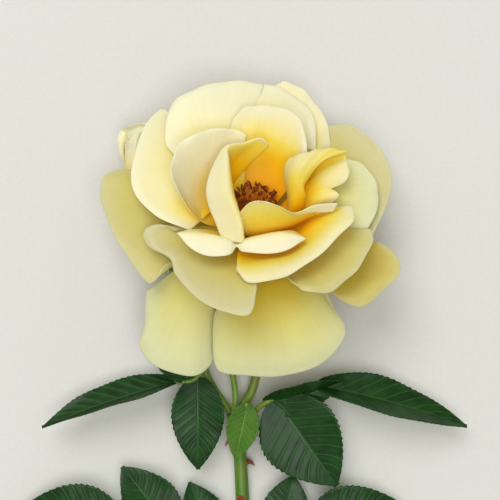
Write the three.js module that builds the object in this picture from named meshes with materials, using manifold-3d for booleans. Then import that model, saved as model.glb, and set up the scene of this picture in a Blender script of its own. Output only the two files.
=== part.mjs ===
// A cut rose stem that lies on a flat surface: one open semi-double bloom, a half-open bud
// behind it, a small closed bud, their stalks, the main stem with its prickles, and the leaves.
//
// Millimetres, +Z up. The stem runs along +Y towards the bloom, and the part lies on z = 0.
import * as THREE from 'three';
import { mergeVertices } from 'three/addons/utils/BufferGeometryUtils.js';
import Module from 'manifold-3d';

const wasm = await Module();
wasm.setup();

// ---- driving dimensions ----
const BLOOM_LEAN = 50;            // degrees that the bloom's axis stands above the surface
const RECEPTACLE = new THREE.Vector3(1.5, 8.4, 0);  // where the petals meet, before the part is set down
const SET_DOWN = new THREE.Vector3(3.5, 29.3, 24.0);   // moves the part to rest on z = 0, centred
const PETAL_THICK = 0.8;
const LEAF_THICK = 0.6;
const GAP = 0.3;                  // between neighbouring pieces
const CORE_RADIUS = 4.6;          // the receptacle's disc, which carries petals and stamens
const CORE_FOOT = 3.6;            // how far the disc reaches below the receptacle's centre
const CORE_HALF_HEIGHT = 3;
const STAMEN_RADIUS = 5.5;        // the tuft of stamens, as one flat ball
const STAMEN_HALF_HEIGHT = 3.5;
const STAMEN_RISE = 2;            // of its centre above the receptacle's
const HIP_RADIUS = 4.3;
const HIP_HALF_LENGTH = 5.4;
const STEM_CUT_RADIUS = 2.6;
const STEM_THIN_RADIUS = 2.0;
const STEM_FORK_RADIUS = 3.0;     // the swollen node where the three stalks part
const BLOOM_STALK_RADIUS = 1.5;
const BUD_STALK_RADIUS = 1.25;
const SMALL_STALK_RADIUS = 1.0;
const PETIOLE_RADIUS = 0.8;

const rad = THREE.MathUtils.degToRad;
const vec = (x, y, z) => new THREE.Vector3(x, y, z);
const alongAxis = (point, axis, distance) => point.clone().addScaledVector(axis, distance);

// The direction that lies `angle` radians from `first` towards `second`.
function between(first, second, angle) {
  return first.clone().multiplyScalar(Math.cos(angle)).addScaledVector(second, Math.sin(angle));
}

// ---- materials ----
const cream = new THREE.MeshStandardMaterial({ color: 0xf1e39a, roughness: 0.55, metalness: 0 });
const bark = new THREE.MeshStandardMaterial({ color: 0x6f9a35, roughness: 0.5, metalness: 0 });
const leafGreen = new THREE.MeshStandardMaterial({ color: 0x2f6a3a, roughness: 0.4, metalness: 0 });
const calyxGreen = new THREE.MeshStandardMaterial({ color: 0x7c9c3c, roughness: 0.5, metalness: 0 });

// ---- closed meshes to solids and back ----
function toSolid(geometry) {
  const bare = geometry.clone();
  bare.deleteAttribute('normal');
  bare.deleteAttribute('uv');
  const merged = mergeVertices(bare, 1e-5);
  const corners = new Uint32Array(merged.index.array);
  if (signedVolume(merged.attributes.position, corners) < 0) corners.reverse();
  return new wasm.Manifold(new wasm.Mesh({
    numProp: 3,
    vertProperties: new Float32Array(merged.attributes.position.array),
    triVerts: corners,
  }));
}

// Six times the volume that the faces enclose: below zero where they point inwards.
function signedVolume(position, corners) {
  const [a, b, c] = [vec(), vec(), vec()];
  let sum = 0;
  for (let i = 0; i < corners.length; i += 3) {
    a.fromBufferAttribute(position, corners[i]);
    b.fromBufferAttribute(position, corners[i + 1]);
    c.fromBufferAttribute(position, corners[i + 2]);
    sum += a.dot(b.cross(c));
  }
  return sum;
}

function toGeometry(solid) {
  const mesh = solid.getMesh();
  const geometry = new THREE.BufferGeometry();
  geometry.setAttribute('position', new THREE.BufferAttribute(mesh.vertProperties, 3));
  geometry.setIndex(new THREE.BufferAttribute(mesh.triVerts, 1));
  geometry.computeVertexNormals();
  return geometry;
}

// The outer body of several joined solids: pockets that the pieces close off are filled.
function join(solids) {
  let whole = solids[0];
  for (const next of solids.slice(1)) whole = whole.add(next);
  const bodies = whole.simplify(0.04).decompose();
  bodies.sort((a, b) => b.volume() - a.volume());
  return bodies[0];
}

// ---- sheets: a flat box whose vertices are moved onto a surface, half a thickness to each side ----
// surface(a, b) takes a across and b along, both from -1 to 1, and gives { point, normal }.
function sheet(surface, across, along, thick) {
  const geometry = new THREE.BoxGeometry(2, 2, 1, across, along, 1);
  const position = geometry.attributes.position;
  for (let i = 0; i < position.count; i += 1) {
    const { point, normal } = surface(position.getX(i), position.getY(i));
    point.addScaledVector(normal, position.getZ(i) * thick);
    position.setXYZ(i, point.x, point.y, point.z);
  }
  return toSolid(geometry);
}

// ---- tubes: a closed cylinder whose rings follow a curve, with a radius that changes along it ----
function tube(points, radii, sides = 8, steps = 12) {
  const curve = new THREE.CatmullRomCurve3(points, false, 'centripetal');
  const frames = curve.computeFrenetFrames(steps, false);
  const geometry = new THREE.CylinderGeometry(1, 1, 1, sides, steps, false);
  const position = geometry.attributes.position;
  for (let i = 0; i < position.count; i += 1) {
    const t = position.getY(i) + 0.5;
    const ring = Math.round(t * steps);
    const along = t * (radii.length - 1);
    const before = Math.min(Math.floor(along), radii.length - 2);
    const radius = THREE.MathUtils.lerp(radii[before], radii[before + 1], along - before);
    const point = curve.getPointAt(t);
    point.addScaledVector(frames.normals[ring], position.getZ(i) * radius);
    point.addScaledVector(frames.binormals[ring], position.getX(i) * radius);
    position.setXYZ(i, point.x, point.y, point.z);
  }
  return toSolid(geometry);
}

// ---- one petal ----
// The petal's axis frame: AXIS points out of the bloom, RIGHT and BACK span its plan. A petal
// leaves the receptacle towards its own direction `at`, counted from RIGHT to BACK. `lift` holds
// the midrib's angle from AXIS at even steps from claw to tip, `cup` bends the petal across,
// `slant` carries one side further than the other, and `aside` leads the midrib off sideways.
// Places on the margin are degrees from the tip: each of `corners`, as [place, rise, spread],
// pushes the margin out or in there, and each of `rolls`, as [place, spread, angle], turns the
// blade back there from `rollFrom` of the way out.
const AXIS = vec(0, Math.cos(rad(BLOOM_LEAN)), Math.sin(rad(BLOOM_LEAN)));
const RIGHT = vec(1, 0, 0);
const BACK = vec(0, Math.sin(rad(BLOOM_LEAN)), -Math.cos(rad(BLOOM_LEAN)));
const MIDRIB_STEPS = 60;
const OVERSHOOT = 1.35;           // the midrib runs on past the tip, for a tip that is drawn out
const FULLY_ASIDE = 0.6;          // where along the midrib its sideways lead is complete
const FULLY_WIDE = 0.62;          // where along the midrib the claw has opened to the full blade
const BROADEST = 0.86;            // where the blade swells most, and how long the swelling is
const BROAD_LENGTH = 0.17;
const NOTCH_WIDTH = 0.13;         // of the petal's width
const ROLL_CURVE = 0.5;           // share of the rolled margin that is curved; the rest is straight

function evenly(values, t) {
  const place = THREE.MathUtils.clamp(t, 0, 1) * (values.length - 1);
  const before = Math.min(Math.floor(place), values.length - 2);
  return THREE.MathUtils.lerp(values[before], values[before + 1], place - before);
}

function midrib(petal) {
  const outward = between(RIGHT, BACK, rad(petal.at));
  const sideways = between(RIGHT, BACK, rad(petal.at + 90));
  const start = alongAxis(RECEPTACLE, outward, petal.start).addScaledVector(AXIS, petal.height);
  const step = (petal.long * OVERSHOOT) / MIDRIB_STEPS;
  const stations = [];
  for (let i = 0; i <= MIDRIB_STEPS; i += 1) {
    const along = (i / MIDRIB_STEPS) * OVERSHOOT;
    const lift = rad(evenly(petal.lift, along));
    const forward = between(AXIS, outward, lift);
    const inner = between(AXIS, outward, lift - Math.PI / 2);
    const rib = i === 0 ? start : alongAxis(stations[i - 1].rib, forward, step);
    const lead = (petal.aside ?? 0) * THREE.MathUtils.smoothstep(along, 0, FULLY_ASIDE);
    stations.push({ rib, point: alongAxis(rib, sideways, lead), inner });
  }
  return { stations, sideways };
}

// The petal before its margin is rolled. x and y run over a round outline of radius 1.
function petalBlade(petal) {
  const { stations, sideways } = midrib(petal);
  const claw = petal.claw ?? 0.45;
  const broad = petal.broad ?? 0.16;
  const notch = petal.notch ?? 0.03;
  const slant = petal.slant ?? 0;
  return (x, y) => {
    const t = (y + 1) / 2;
    const open = THREE.MathUtils.smoothstep(t, 0, FULLY_WIDE);
    const swell = 1 + broad * Math.exp(-(((t - BROADEST) / BROAD_LENGTH) ** 2));
    const q = x * 0.5 * petal.wide * (claw + (1 - claw) * open) * swell;
    const dip = notch * Math.exp(-((q / (NOTCH_WIDTH * petal.wide)) ** 2)) * t ** 6;
    const s = t - dip + slant * (q / petal.wide) * t * t;
    const place = (THREE.MathUtils.clamp(s, 0, OVERSHOOT) / OVERSHOOT) * MIDRIB_STEPS;
    const before = Math.min(Math.floor(place), MIDRIB_STEPS - 1);
    const low = stations[before];
    const high = stations[before + 1];
    const inner = low.inner.clone().lerp(high.inner, place - before).normalize();
    const point = low.point.clone().lerp(high.point, place - before);
    const bend = rad(petal.cup) / petal.wide;
    const turn = bend * q;
    const across = Math.abs(turn) < 1e-4 ? q : Math.sin(turn) / bend;
    const rise = Math.abs(turn) < 1e-4 ? 0 : (1 - Math.cos(turn)) / bend;
    point.addScaledVector(sideways, across).addScaledVector(inner, rise);
    const normal = inner.multiplyScalar(Math.cos(turn)).addScaledVector(sideways, -Math.sin(turn));
    return { point, normal };
  };
}

function nearMargin(x, y, place, spread) {
  const angle = THREE.MathUtils.radToDeg(Math.atan2(x, y));
  const away = THREE.MathUtils.euclideanModulo(angle - place + 180, 360) - 180;
  return Math.exp(-((away / spread) ** 2));
}

function petalSurface(petal) {
  const blade = petalBlade(petal);
  const rollFrom = petal.rollFrom ?? 0.74;
  return (a, b) => {
    let x = a * Math.sqrt(1 - (b * b) / 2);   // the square's outline becomes a round one
    let y = b * Math.sqrt(1 - (a * a) / 2);
    const radius = Math.hypot(x, y);
    let stretch = 1;
    for (const [place, rise, spread] of petal.corners ?? []) {
      stretch += rise * nearMargin(x, y, place, spread) * radius ** 3;
    }
    x *= stretch;
    y *= stretch;
    const { point, normal } = blade(x, y);
    let bend = 0;
    for (const [place, spread, angle] of petal.rolls ?? []) {
      bend += rad(angle) * nearMargin(x, y, place, spread);
    }
    if (Math.abs(bend) < 1e-3 || radius <= rollFrom) return { point, normal };

    const fold = blade((x / radius) * rollFrom, (y / radius) * rollFrom);
    const before = blade((x / radius) * (rollFrom - 0.04), (y / radius) * (rollFrom - 0.04));
    const edge = blade(x / radius, y / radius);
    const heading = fold.point.clone().sub(before.point);
    heading.addScaledVector(fold.normal, -heading.dot(fold.normal)).normalize();
    const reach = edge.point.distanceTo(fold.point);
    const gone = ((radius - rollFrom) / (1 - rollFrom)) * reach;
    const curved = Math.min(gone, ROLL_CURVE * reach);
    const rate = bend / (ROLL_CURVE * reach);
    const turned = rate * curved;
    const onward = Math.sin(turned) / rate + (gone - curved) * Math.cos(turned);
    const down = (1 - Math.cos(turned)) / rate + (gone - curved) * Math.sin(turned);
    point.addScaledVector(heading, onward - gone).addScaledVector(fold.normal, -down);
    normal.multiplyScalar(Math.cos(turned)).addScaledVector(heading, Math.sin(turned));
    return { point, normal };
  };
}

// ---- the bloom: petals from the outside in, round a disc that carries the stamens ----
const OUTER = { start: 4, height: -2.5 };
const MIDDLE = { start: 4, height: -1 };
const INNER = { start: 3.5, height: 0 };
const FINE = { across: 8, along: 9 };
const BLOOM_PETALS = [
  { ...OUTER, at: 58, long: 36, wide: 30, lift: [77, 86, 92, 95], cup: 40 },
  {
    ...OUTER, at: 25, long: 41, wide: 42, lift: [60, 70, 78, 86], cup: 40,
    corners: [[36, 0.1, 14], [-45, -0.06, 14]],
  },
  { ...OUTER, at: -23, long: 43, wide: 30, lift: [85, 98, 104, 110], cup: 20, broad: 0.3 },
  { ...OUTER, at: -79, long: 44, wide: 36, lift: [95, 118, 130, 134], cup: 20, broad: 0.36, claw: 0.5 },
  { ...OUTER, height: -4, at: -126, long: 47, wide: 30, lift: [95, 122, 138, 140], cup: 30, broad: 0.3 },
  {
    ...OUTER, at: 184, long: 42, wide: 46, lift: [72, 78, 84, 96], cup: 30,
    corners: [[-70, -0.2, 30], [58, 0.12, 14]],
  },
  { ...MIDDLE, at: -43, long: 35, wide: 38, lift: [56, 78, 90, 98], cup: 50 },
  {
    ...MIDDLE, at: -125, long: 37, wide: 43, lift: [62, 78, 92, 102], cup: 40,
    corners: [[-58, 0.08, 14], [0, -0.1, 26], [54, 0.16, 12]],
  },
  { ...MIDDLE, at: 148, long: 39, wide: 47, lift: [45, 58, 70, 86], cup: 60 },
  { ...MIDDLE, at: 117, long: 41, wide: 42, lift: [35, 42, 52, 75], cup: 60 },
  { ...MIDDLE, at: 95, long: 41, wide: 36, lift: [35, 42, 52, 72], cup: 60 },
  { ...MIDDLE, at: 61, long: 38, wide: 34, lift: [40, 48, 58, 74], cup: 60 },
  { ...MIDDLE, at: -1, long: 35, wide: 34, lift: [48, 62, 75, 88], cup: 60 },
  { ...INNER, at: 156, long: 31, wide: 40, lift: [32, 36, 40, 56], cup: 80 },
  { ...INNER, at: 82, long: 33, wide: 30, lift: [20, 26, 36, 50], cup: 64 },
  {
    ...INNER, ...FINE, at: -47, long: 33, wide: 48, lift: [80, 72, 58, 48, 48], cup: 66,
    rolls: [[0, 80, 62]], rollFrom: 0.62,
  },
  {
    ...INNER, ...FINE, at: -95, start: 4.5, long: 32, wide: 46, lift: [88, 86, 60, 0, -14, -14], cup: 80,
    aside: -4.5, notch: 0.15, rolls: [[0, 85, 112]], rollFrom: 0.56,
    corners: [[52, 0.06, 16], [-52, 0.06, 16]],
  },
  { ...INNER, at: 32, long: 31, wide: 24, lift: [55, 62, 68, 70], cup: 30, notch: 0.25, aside: -2 },
  {
    ...INNER, ...FINE, at: 166, start: 8, long: 24, wide: 47, lift: [20, 8, 2, 2, 4], cup: 200, slant: -0.5,
    rolls: [[72, 56, 125]], rollFrom: 0.54, corners: [[-95, -0.45, 26], [72, 0.16, 24]],
  },
  {
    ...INNER, ...FINE, at: 82, start: 0.5, long: 27, wide: 24, lift: [24, 10, 5, 4], cup: 20, aside: -15,
    slant: -0.25, corners: [[-80, -0.6, 34], [-40, 0.12, 12]],
  },
  {
    ...INNER, ...FINE, at: -84, long: 21, wide: 38, lift: [60, 30, 8, 2, 6], cup: 20, aside: 11,
    rolls: [[56, 30, 115]], rollFrom: 0.78, corners: [[24, -0.09, 14], [-36, 0.06, 14]],
  },
];

function disc(centre, radius, height, axis) {
  const geometry = new THREE.SphereGeometry(1, 12, 8);
  geometry.scale(radius, height, radius);
  geometry.applyQuaternion(new THREE.Quaternion().setFromUnitVectors(vec(0, 1, 0), axis));
  geometry.translate(centre.x, centre.y, centre.z);
  return toSolid(geometry);
}

function bloom() {
  const coreCentre = alongAxis(RECEPTACLE, AXIS, CORE_HALF_HEIGHT - CORE_FOOT);
  const tuftCentre = alongAxis(RECEPTACLE, AXIS, STAMEN_RISE);
  const core = disc(coreCentre, CORE_RADIUS, CORE_HALF_HEIGHT, AXIS);
  const stamens = disc(tuftCentre, STAMEN_RADIUS, STAMEN_HALF_HEIGHT, AXIS);
  const solids = [core, stamens];
  for (const petal of BLOOM_PETALS) {
    solids.push(sheet(petalSurface(petal), petal.across ?? 5, petal.along ?? 6, PETAL_THICK));
  }
  return join(solids);
}

// ---- the calyx: the hip under the receptacle, and five sepals bent back along the stalk ----
const SEPAL_THICK = 0.7;
const SEPAL_SEAT = 2.4;           // a sepal starts this far from the axis
const SEPAL_DROP = 1.2;           // and this far below the top of the hip
const SEPAL_TIP_WIDTH = 0.7;
const SEPAL_CURL = 30;            // degrees that it bends back from root to tip
function sepal(top, axis, direction, long, wide, openAngle) {
  const side = axis.clone().cross(direction).normalize();
  return sheet((a, b) => {
    const t = (b + 1) / 2;
    const angle = rad(openAngle + SEPAL_CURL * t);
    const half = 0.5 * (wide * (1 - t ** 1.6) + SEPAL_TIP_WIDTH);
    const point = alongAxis(top, direction, SEPAL_SEAT).addScaledVector(side, a * half);
    point.addScaledVector(between(axis, direction, angle), long * t);
    return { point, normal: between(axis, direction, angle - Math.PI / 2) };
  }, 2, 5, SEPAL_THICK);
}

function calyx(top, axis, hipRadius, hipHalf, sepals) {
  const solids = [disc(alongAxis(top, axis, -hipHalf), hipRadius, hipHalf, axis)];
  const seat = alongAxis(top, axis, -SEPAL_DROP);
  const back = axis.clone().cross(RIGHT).normalize();
  const out = back.clone().cross(axis).normalize();
  for (let i = 0; i < 5; i += 1) {
    const direction = between(out, back, rad(sepals.turn + 72 * i));
    solids.push(sepal(seat, axis, direction, sepals.long, sepals.wide, sepals.open));
  }
  return join(solids);
}

// ---- the leaflets: a blade with a folded midrib that arches along its length ----
// heading turns the blade in plan from +X towards +Y, pitch lifts its tip, roll tips it sideways.
function leaflet({ from, heading, pitch = 0, roll = 0, long, wide, fold = 20, arch = 20 }) {
  const turn = new THREE.Euler(rad(roll), -rad(pitch), rad(heading), 'ZYX');
  const at = new THREE.Quaternion().setFromEuler(turn);
  return sheet((a, b) => {
    const t = (b + 1) / 2;
    const half = 0.5 * wide * Math.sin(Math.PI * Math.min(0.06 + 0.94 * t ** 0.85, 0.985)) ** 0.8;
    const q = a * half;
    const bow = rad(arch) * (t - 0.5);
    const normal = vec(Math.sin(bow), -Math.sign(q) * Math.sin(rad(fold)), Math.cos(bow)).normalize();
    const rise = Math.abs(q) * Math.sin(rad(fold)) - (long * rad(arch) * t * t) / 2;
    const point = vec(long * t, q * Math.cos(rad(fold)), rise);
    return { point: point.applyQuaternion(at).add(from), normal: normal.applyQuaternion(at) };
  }, 4, 8, LEAF_THICK);
}

function leaf(rachis, leaflets) {
  const solids = [tube(rachis, [PETIOLE_RADIUS * 1.3, PETIOLE_RADIUS, PETIOLE_RADIUS * 0.8], 6, 8)];
  for (const blade of leaflets) solids.push(leaflet(blade));
  return join(solids);
}

// ---- the main stem: a tapered rod with a flat cut and curved prickles ----
const STEM_CUT_Y = -106.5;
const STEM_PATH = [
  vec(-1.3, STEM_CUT_Y - 3, -21.4),
  vec(-1.9, -92, -21.2),
  vec(-2.4, -78, -20.6),
  vec(-3.2, -64, -19.9),
  vec(-4.4, -51.5, -19.6),
];
const STEM_RADII = [STEM_CUT_RADIUS, 2.4, 2.2, 2.1, STEM_THIN_RADIUS, STEM_FORK_RADIUS];
const PRICKLES = [
  { along: 0.14, around: 60 },
  { along: 0.36, around: 200 },
  { along: 0.5, around: 110 },
  { along: 0.7, around: 340 },
  { along: 0.84, around: 160 },
];

function prickle(curve, { along, around }) {
  const root = curve.getPointAt(along);
  const forward = curve.getTangentAt(along);
  const up = vec(0, 0, 1);
  const side = forward.clone().cross(up).normalize();
  const outward = between(side, up, rad(around));
  const radius = THREE.MathUtils.lerp(STEM_CUT_RADIUS, STEM_THIN_RADIUS, along);
  const points = [
    alongAxis(root, outward, radius * 0.6),
    alongAxis(root, outward, radius + 1.2).addScaledVector(forward, -0.3),
    alongAxis(root, outward, radius + 2.6).addScaledVector(forward, -1.6),
  ];
  return tube(points, [1.5, 0.7, 0.12], 6, 3);
}

function mainStem() {
  const curve = new THREE.CatmullRomCurve3(STEM_PATH, false, 'centripetal');
  const solids = [tube(STEM_PATH, STEM_RADII, 12, 15)];
  for (const one of PRICKLES) solids.push(prickle(curve, one));
  return join(solids).trimByPlane([0, 1, 0], STEM_CUT_Y);
}

// ---- the buds: turned bodies along their own axes ----
// A profile holds [share of the radius, share of the length] from base to tip.
const BUD_BASE = vec(-28.5, 16, -16.2);
const BUD_AXIS = vec(-0.2, 0.97, 0.1).normalize();
const BUD_LONG = 23;
const BUD_RADIUS = 8;
const BUD_PROFILE = [
  [0, 0], [0.55, 0.05], [0.88, 0.2], [1, 0.42], [0.9, 0.68],
  [0.82, 0.85], [0.94, 0.98], [0.7, 1], [0.35, 0.9], [0, 0.88],
];
const BUD_HIP_RADIUS = 3.4;
const BUD_HIP_HALF_LENGTH = 3;

// The small bud is still closed: its hip, sepals and petals are one drop.
const SMALL_BASE = vec(-8, -29, -19.2);
const SMALL_AXIS = vec(-0.25, 0.96, 0.1).normalize();
const SMALL_LONG = 17;
const SMALL_RADIUS = 4;
const SMALL_PROFILE = [
  [0, 0], [0.62, 0.03], [0.72, 0.14], [0.6, 0.26],
  [1, 0.42], [0.96, 0.58], [0.6, 0.8], [0, 1],
];

function turned(profile, base, axis, long, radius, sides) {
  const points = profile.map(([r, h]) => new THREE.Vector2(r * radius, h * long));
  const geometry = new THREE.LatheGeometry(points, sides);
  geometry.applyQuaternion(new THREE.Quaternion().setFromUnitVectors(vec(0, 1, 0), axis));
  geometry.translate(base.x, base.y, base.z);
  return toSolid(geometry);
}

// ---- assembly ----
const group = new THREE.Group();

function add(name, solid, material) {
  const mesh = new THREE.Mesh(toGeometry(solid), material);
  mesh.name = name;
  group.add(mesh);
  return mesh;
}

const hipTop = alongAxis(RECEPTACLE, AXIS, -CORE_FOOT - GAP);
const hipFoot = alongAxis(hipTop, AXIS, -2 * HIP_HALF_LENGTH - GAP);
const budTop = alongAxis(BUD_BASE, BUD_AXIS, -GAP);
const budFoot = alongAxis(budTop, BUD_AXIS, -2 * BUD_HIP_HALF_LENGTH - GAP);
const smallFoot = alongAxis(SMALL_BASE, SMALL_AXIS, -GAP);
const bloomSepals = { turn: 20, long: 17, wide: 5, open: 125 };
const budSepals = { turn: 54, long: 7.6, wide: 4, open: 98 };

add('bloom', bloom(), cream);
add('calyx', calyx(hipTop, AXIS, HIP_RADIUS, HIP_HALF_LENGTH, bloomSepals), calyxGreen);
add('main_stem', mainStem(), bark);

// A stalk runs from its own side of the fork to the foot of what it carries, and is thinnest midway.
function stalk(points, radius, sides, steps) {
  return tube(points, [radius, radius * 0.9, radius], sides, steps);
}

const bloomStalk = [
  vec(-2.9, -50.3, -19.9), vec(1.3, -42, -19.8), vec(2, -22, -20.4), vec(1.7, -9, -18.2), hipFoot,
];
add('bloom_stalk', stalk(bloomStalk, BLOOM_STALK_RADIUS, 10, 14), bark);

const budStalk = [
  vec(-6.4, -50.9, -20.1), vec(-13.5, -39.5, -19.6), vec(-18, -22, -20.4), vec(-24, -7, -18.6), budFoot,
];
add('bud', turned(BUD_PROFILE, BUD_BASE, BUD_AXIS, BUD_LONG, BUD_RADIUS, 14), cream);
add('bud_calyx', calyx(budTop, BUD_AXIS, BUD_HIP_RADIUS, BUD_HIP_HALF_LENGTH, budSepals), calyxGreen);
add('bud_stalk', stalk(budStalk, BUD_STALK_RADIUS, 8, 12), bark);

const smallStalk = [vec(-4.8, -50.8, -17.5), vec(-4.6, -45, -17.6), vec(-6.2, -36, -19), smallFoot];
add('small_bud', turned(SMALL_PROFILE, SMALL_BASE, SMALL_AXIS, SMALL_LONG, SMALL_RADIUS, 12), calyxGreen);
add('small_bud_stalk', stalk(smallStalk, SMALL_STALK_RADIUS, 8, 8), bark);

// Each leaf is its rachis with the leaflets that it carries.
add('leaf_left', leaf(
  [vec(-14.8, -37.6, -17.2), vec(-16.4, -39.4, -15), vec(-19, -40.8, -14.2), vec(-23.5, -41, -14)],
  [
    { from: vec(-23, -41, -14), heading: 197, pitch: 4, roll: 42, long: 45, wide: 20, fold: 25, arch: 24 },
    { from: vec(-16.2, -39.6, -14.6), heading: 270, pitch: 6, long: 28.5, wide: 17, fold: 12, arch: 22 },
    { from: vec(-19, -40.6, -14.2), heading: 118, pitch: -4, long: 24, wide: 14, fold: 18, arch: 20 },
  ],
), leafGreen);

add('leaf_right', leaf(
  [vec(-0.8, -53.4, -17.9), vec(4, -48, -15), vec(13, -44, -13.6), vec(21.5, -42, -13)],
  [
    { from: vec(21, -42.1, -13), heading: 346, pitch: 2, roll: -25, long: 46, wide: 20, fold: 20, arch: 26 },
    { from: vec(4.4, -47.2, -15), heading: 8, pitch: 16, roll: 30, long: 25, wide: 12, fold: 22, arch: 30 },
    { from: vec(5.6, -47.2, -15), heading: 304, pitch: 6, roll: 6, long: 33, wide: 24, fold: 10, arch: 18 },
  ],
), leafGreen);

add('bract', leaf(
  [vec(-3.8, -53.4, -15.8), vec(-3, -51, -14), vec(-1.8, -48.6, -13), vec(-0.8, -47.4, -12.8)],
  [{ from: vec(-0.8, -47.6, -12.8), heading: 258, pitch: 8, long: 17.5, wide: 11, fold: 24, arch: 30 }],
), leafGreen);

add('leaf_low_left', leaf(
  [vec(-4.8, -95, -19), vec(-12, -91, -17.4), vec(-24, -87.4, -16), vec(-41, -85, -15)],
  [
    { from: vec(-40, -85.1, -15), heading: 172, pitch: 2, roll: 10, long: 32, wide: 22, fold: 14, arch: 22 },
    { from: vec(-24, -87.4, -16), heading: 128, pitch: 4, roll: 10, long: 25, wide: 18, fold: 14, arch: 20 },
    { from: vec(-24, -87.6, -16), heading: 222, pitch: 4, roll: -10, long: 25, wide: 18, fold: 14, arch: 20 },
    { from: vec(-11, -91.4, -17.6), heading: 112, pitch: 6, roll: 8, long: 20, wide: 15, fold: 14, arch: 20 },
    { from: vec(-11, -91.6, -17.6), heading: 238, pitch: 6, roll: -8, long: 20, wide: 15, fold: 14, arch: 20 },
  ],
), leafGreen);

add('leaf_low_right', leaf(
  [vec(0.9, -90.2, -19.6), vec(6, -88.4, -17.6), vec(12, -87, -16.8), vec(19, -86, -16.4)],
  [
    { from: vec(18.5, -86, -16.4), heading: 12, pitch: 4, roll: -8, long: 30, wide: 21, fold: 14, arch: 22 },
    { from: vec(9.5, -87.4, -17), heading: 76, pitch: 2, long: 17, wide: 15, fold: 12, arch: 20 },
    { from: vec(9.5, -87.6, -17), heading: 318, pitch: 4, long: 22, wide: 16, fold: 12, arch: 20 },
  ],
), leafGreen);

// The part is set down on z = 0, centred on the origin.
group.position.copy(SET_DOWN);

export default group;
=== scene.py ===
"""A cut rose stem lying on a pale floor: an open cream-yellow bloom, two buds, a stem and leaves."""
import math

import bpy
import numpy as np
from mathutils import Euler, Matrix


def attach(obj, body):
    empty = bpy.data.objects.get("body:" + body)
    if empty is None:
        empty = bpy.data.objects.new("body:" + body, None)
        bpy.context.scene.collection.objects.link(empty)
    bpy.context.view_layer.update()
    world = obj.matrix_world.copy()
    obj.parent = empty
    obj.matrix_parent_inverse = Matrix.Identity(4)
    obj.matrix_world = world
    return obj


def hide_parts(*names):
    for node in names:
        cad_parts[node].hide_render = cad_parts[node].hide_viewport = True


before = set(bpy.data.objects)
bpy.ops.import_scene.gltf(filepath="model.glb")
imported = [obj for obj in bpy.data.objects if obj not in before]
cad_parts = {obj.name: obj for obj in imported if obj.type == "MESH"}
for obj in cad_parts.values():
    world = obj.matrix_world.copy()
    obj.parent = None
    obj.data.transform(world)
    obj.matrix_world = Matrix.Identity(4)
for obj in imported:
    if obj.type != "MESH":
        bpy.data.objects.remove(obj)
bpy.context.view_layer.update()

# ---------------------------------------------------------------------------
# Camera, floor and light. The camera looks straight down on the lying stem from a little over
# 0.4 m, with the bloom's heart near the middle of its view, and the floor is plain pale paper.
# The plant's sizes are in mm, here and below, and a division by 1000 makes them Blender's metres.
set_down = np.array([3.5, 29.3, 24.0])       # mm, from the bloom's own frame to the part's frame
camera_height = 417.0                        # above the receptacle's level
camera_data = bpy.data.cameras.new("camera")
camera_data.sensor_width = 36.0
camera_data.lens = 100.0
camera_data.clip_start = 0.01
camera = bpy.data.objects.new("camera", camera_data)
camera.location = (set_down + np.array([0.0, 0.0, camera_height])) / 1000
bpy.context.collection.objects.link(camera)
bpy.context.scene.camera = camera
bpy.context.scene.view_settings.view_transform = "Standard"


def hex_colour(code):
    """An sRGB hex value as the linear RGBA that Blender's sockets take."""
    parts = [int(code[i:i + 2], 16) / 255 for i in (1, 3, 5)]
    linear = [c / 12.92 if c <= 0.04045 else ((c + 0.055) / 1.055) ** 2.4 for c in parts]
    return (*linear, 1.0)


def wire(node, values, links):
    """Sets a node's sockets to values, and joins others to an output, or to a node's first output."""
    for socket, value in values.items():
        node.inputs[socket].default_value = value
    for socket, source in links.items():
        output = source.outputs[0] if isinstance(source, bpy.types.Node) else source
        node.id_data.links.new(output, node.inputs[socket])


def add_node(material, kind, values={}, links={}, **settings):
    """Adds one shader node with its settings, its sockets' values and its links."""
    node = material.node_tree.nodes.new("ShaderNode" + kind)
    for name, value in settings.items():
        setattr(node, name, value)
    wire(node, values, links)
    return node


def set_stops(ramp, *stops):
    """Gives a colour ramp its (position, hex colour) stops, from low to high."""
    elements = ramp.color_ramp.elements
    for element, (position, colour) in ((elements[0], stops[0]), (elements[1], stops[-1])):
        element.position, element.color = position, hex_colour(colour)
    for position, colour in stops[1:-1]:
        elements.new(position).color = hex_colour(colour)


def new_material(name):
    """A material with only its Principled shader and output, and that shader."""
    material = bpy.data.materials.new(name)
    material.use_nodes = True
    return material, material.node_tree.nodes["Principled BSDF"]


def mottled_material(name, dark, light, scale, roughness, relief, see_through=0.0):
    """A surface whose colour drifts between two close tones, with a faint relief to match."""
    material, shader = new_material(name)
    place = add_node(material, "TexCoord")
    drift = add_node(material, "TexNoise", values={"Scale": scale, "Detail": 3.0},
                     links={0: place.outputs["Object"]})
    ramp = add_node(material, "ValToRGB", links={0: drift.outputs["Fac"]})
    set_stops(ramp, (0.3, dark), (0.7, light))
    bump = add_node(material, "Bump", values={"Strength": 0.3, "Distance": relief},
                    links={"Height": drift.outputs["Fac"]})
    wire(shader, {"Roughness": roughness, "Subsurface Weight": see_through, "Subsurface Scale": 0.001},
         {"Base Color": ramp, "Normal": bump})
    return material


# Matt paper: plain and pale, with the faintest drift of tone, so that shadows lie soft on it.
paper = mottled_material("matt_paper", "#d7d6d0", "#dbdad4", 900.0, 0.9, 0.00002)
bpy.ops.object.select_all(action="DESELECT")
bpy.ops.mesh.primitive_plane_add(size=4.0, location=(0, 0, 0))
floor = bpy.context.object
floor.name = "floor"
floor.data.materials.append(paper)


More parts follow.
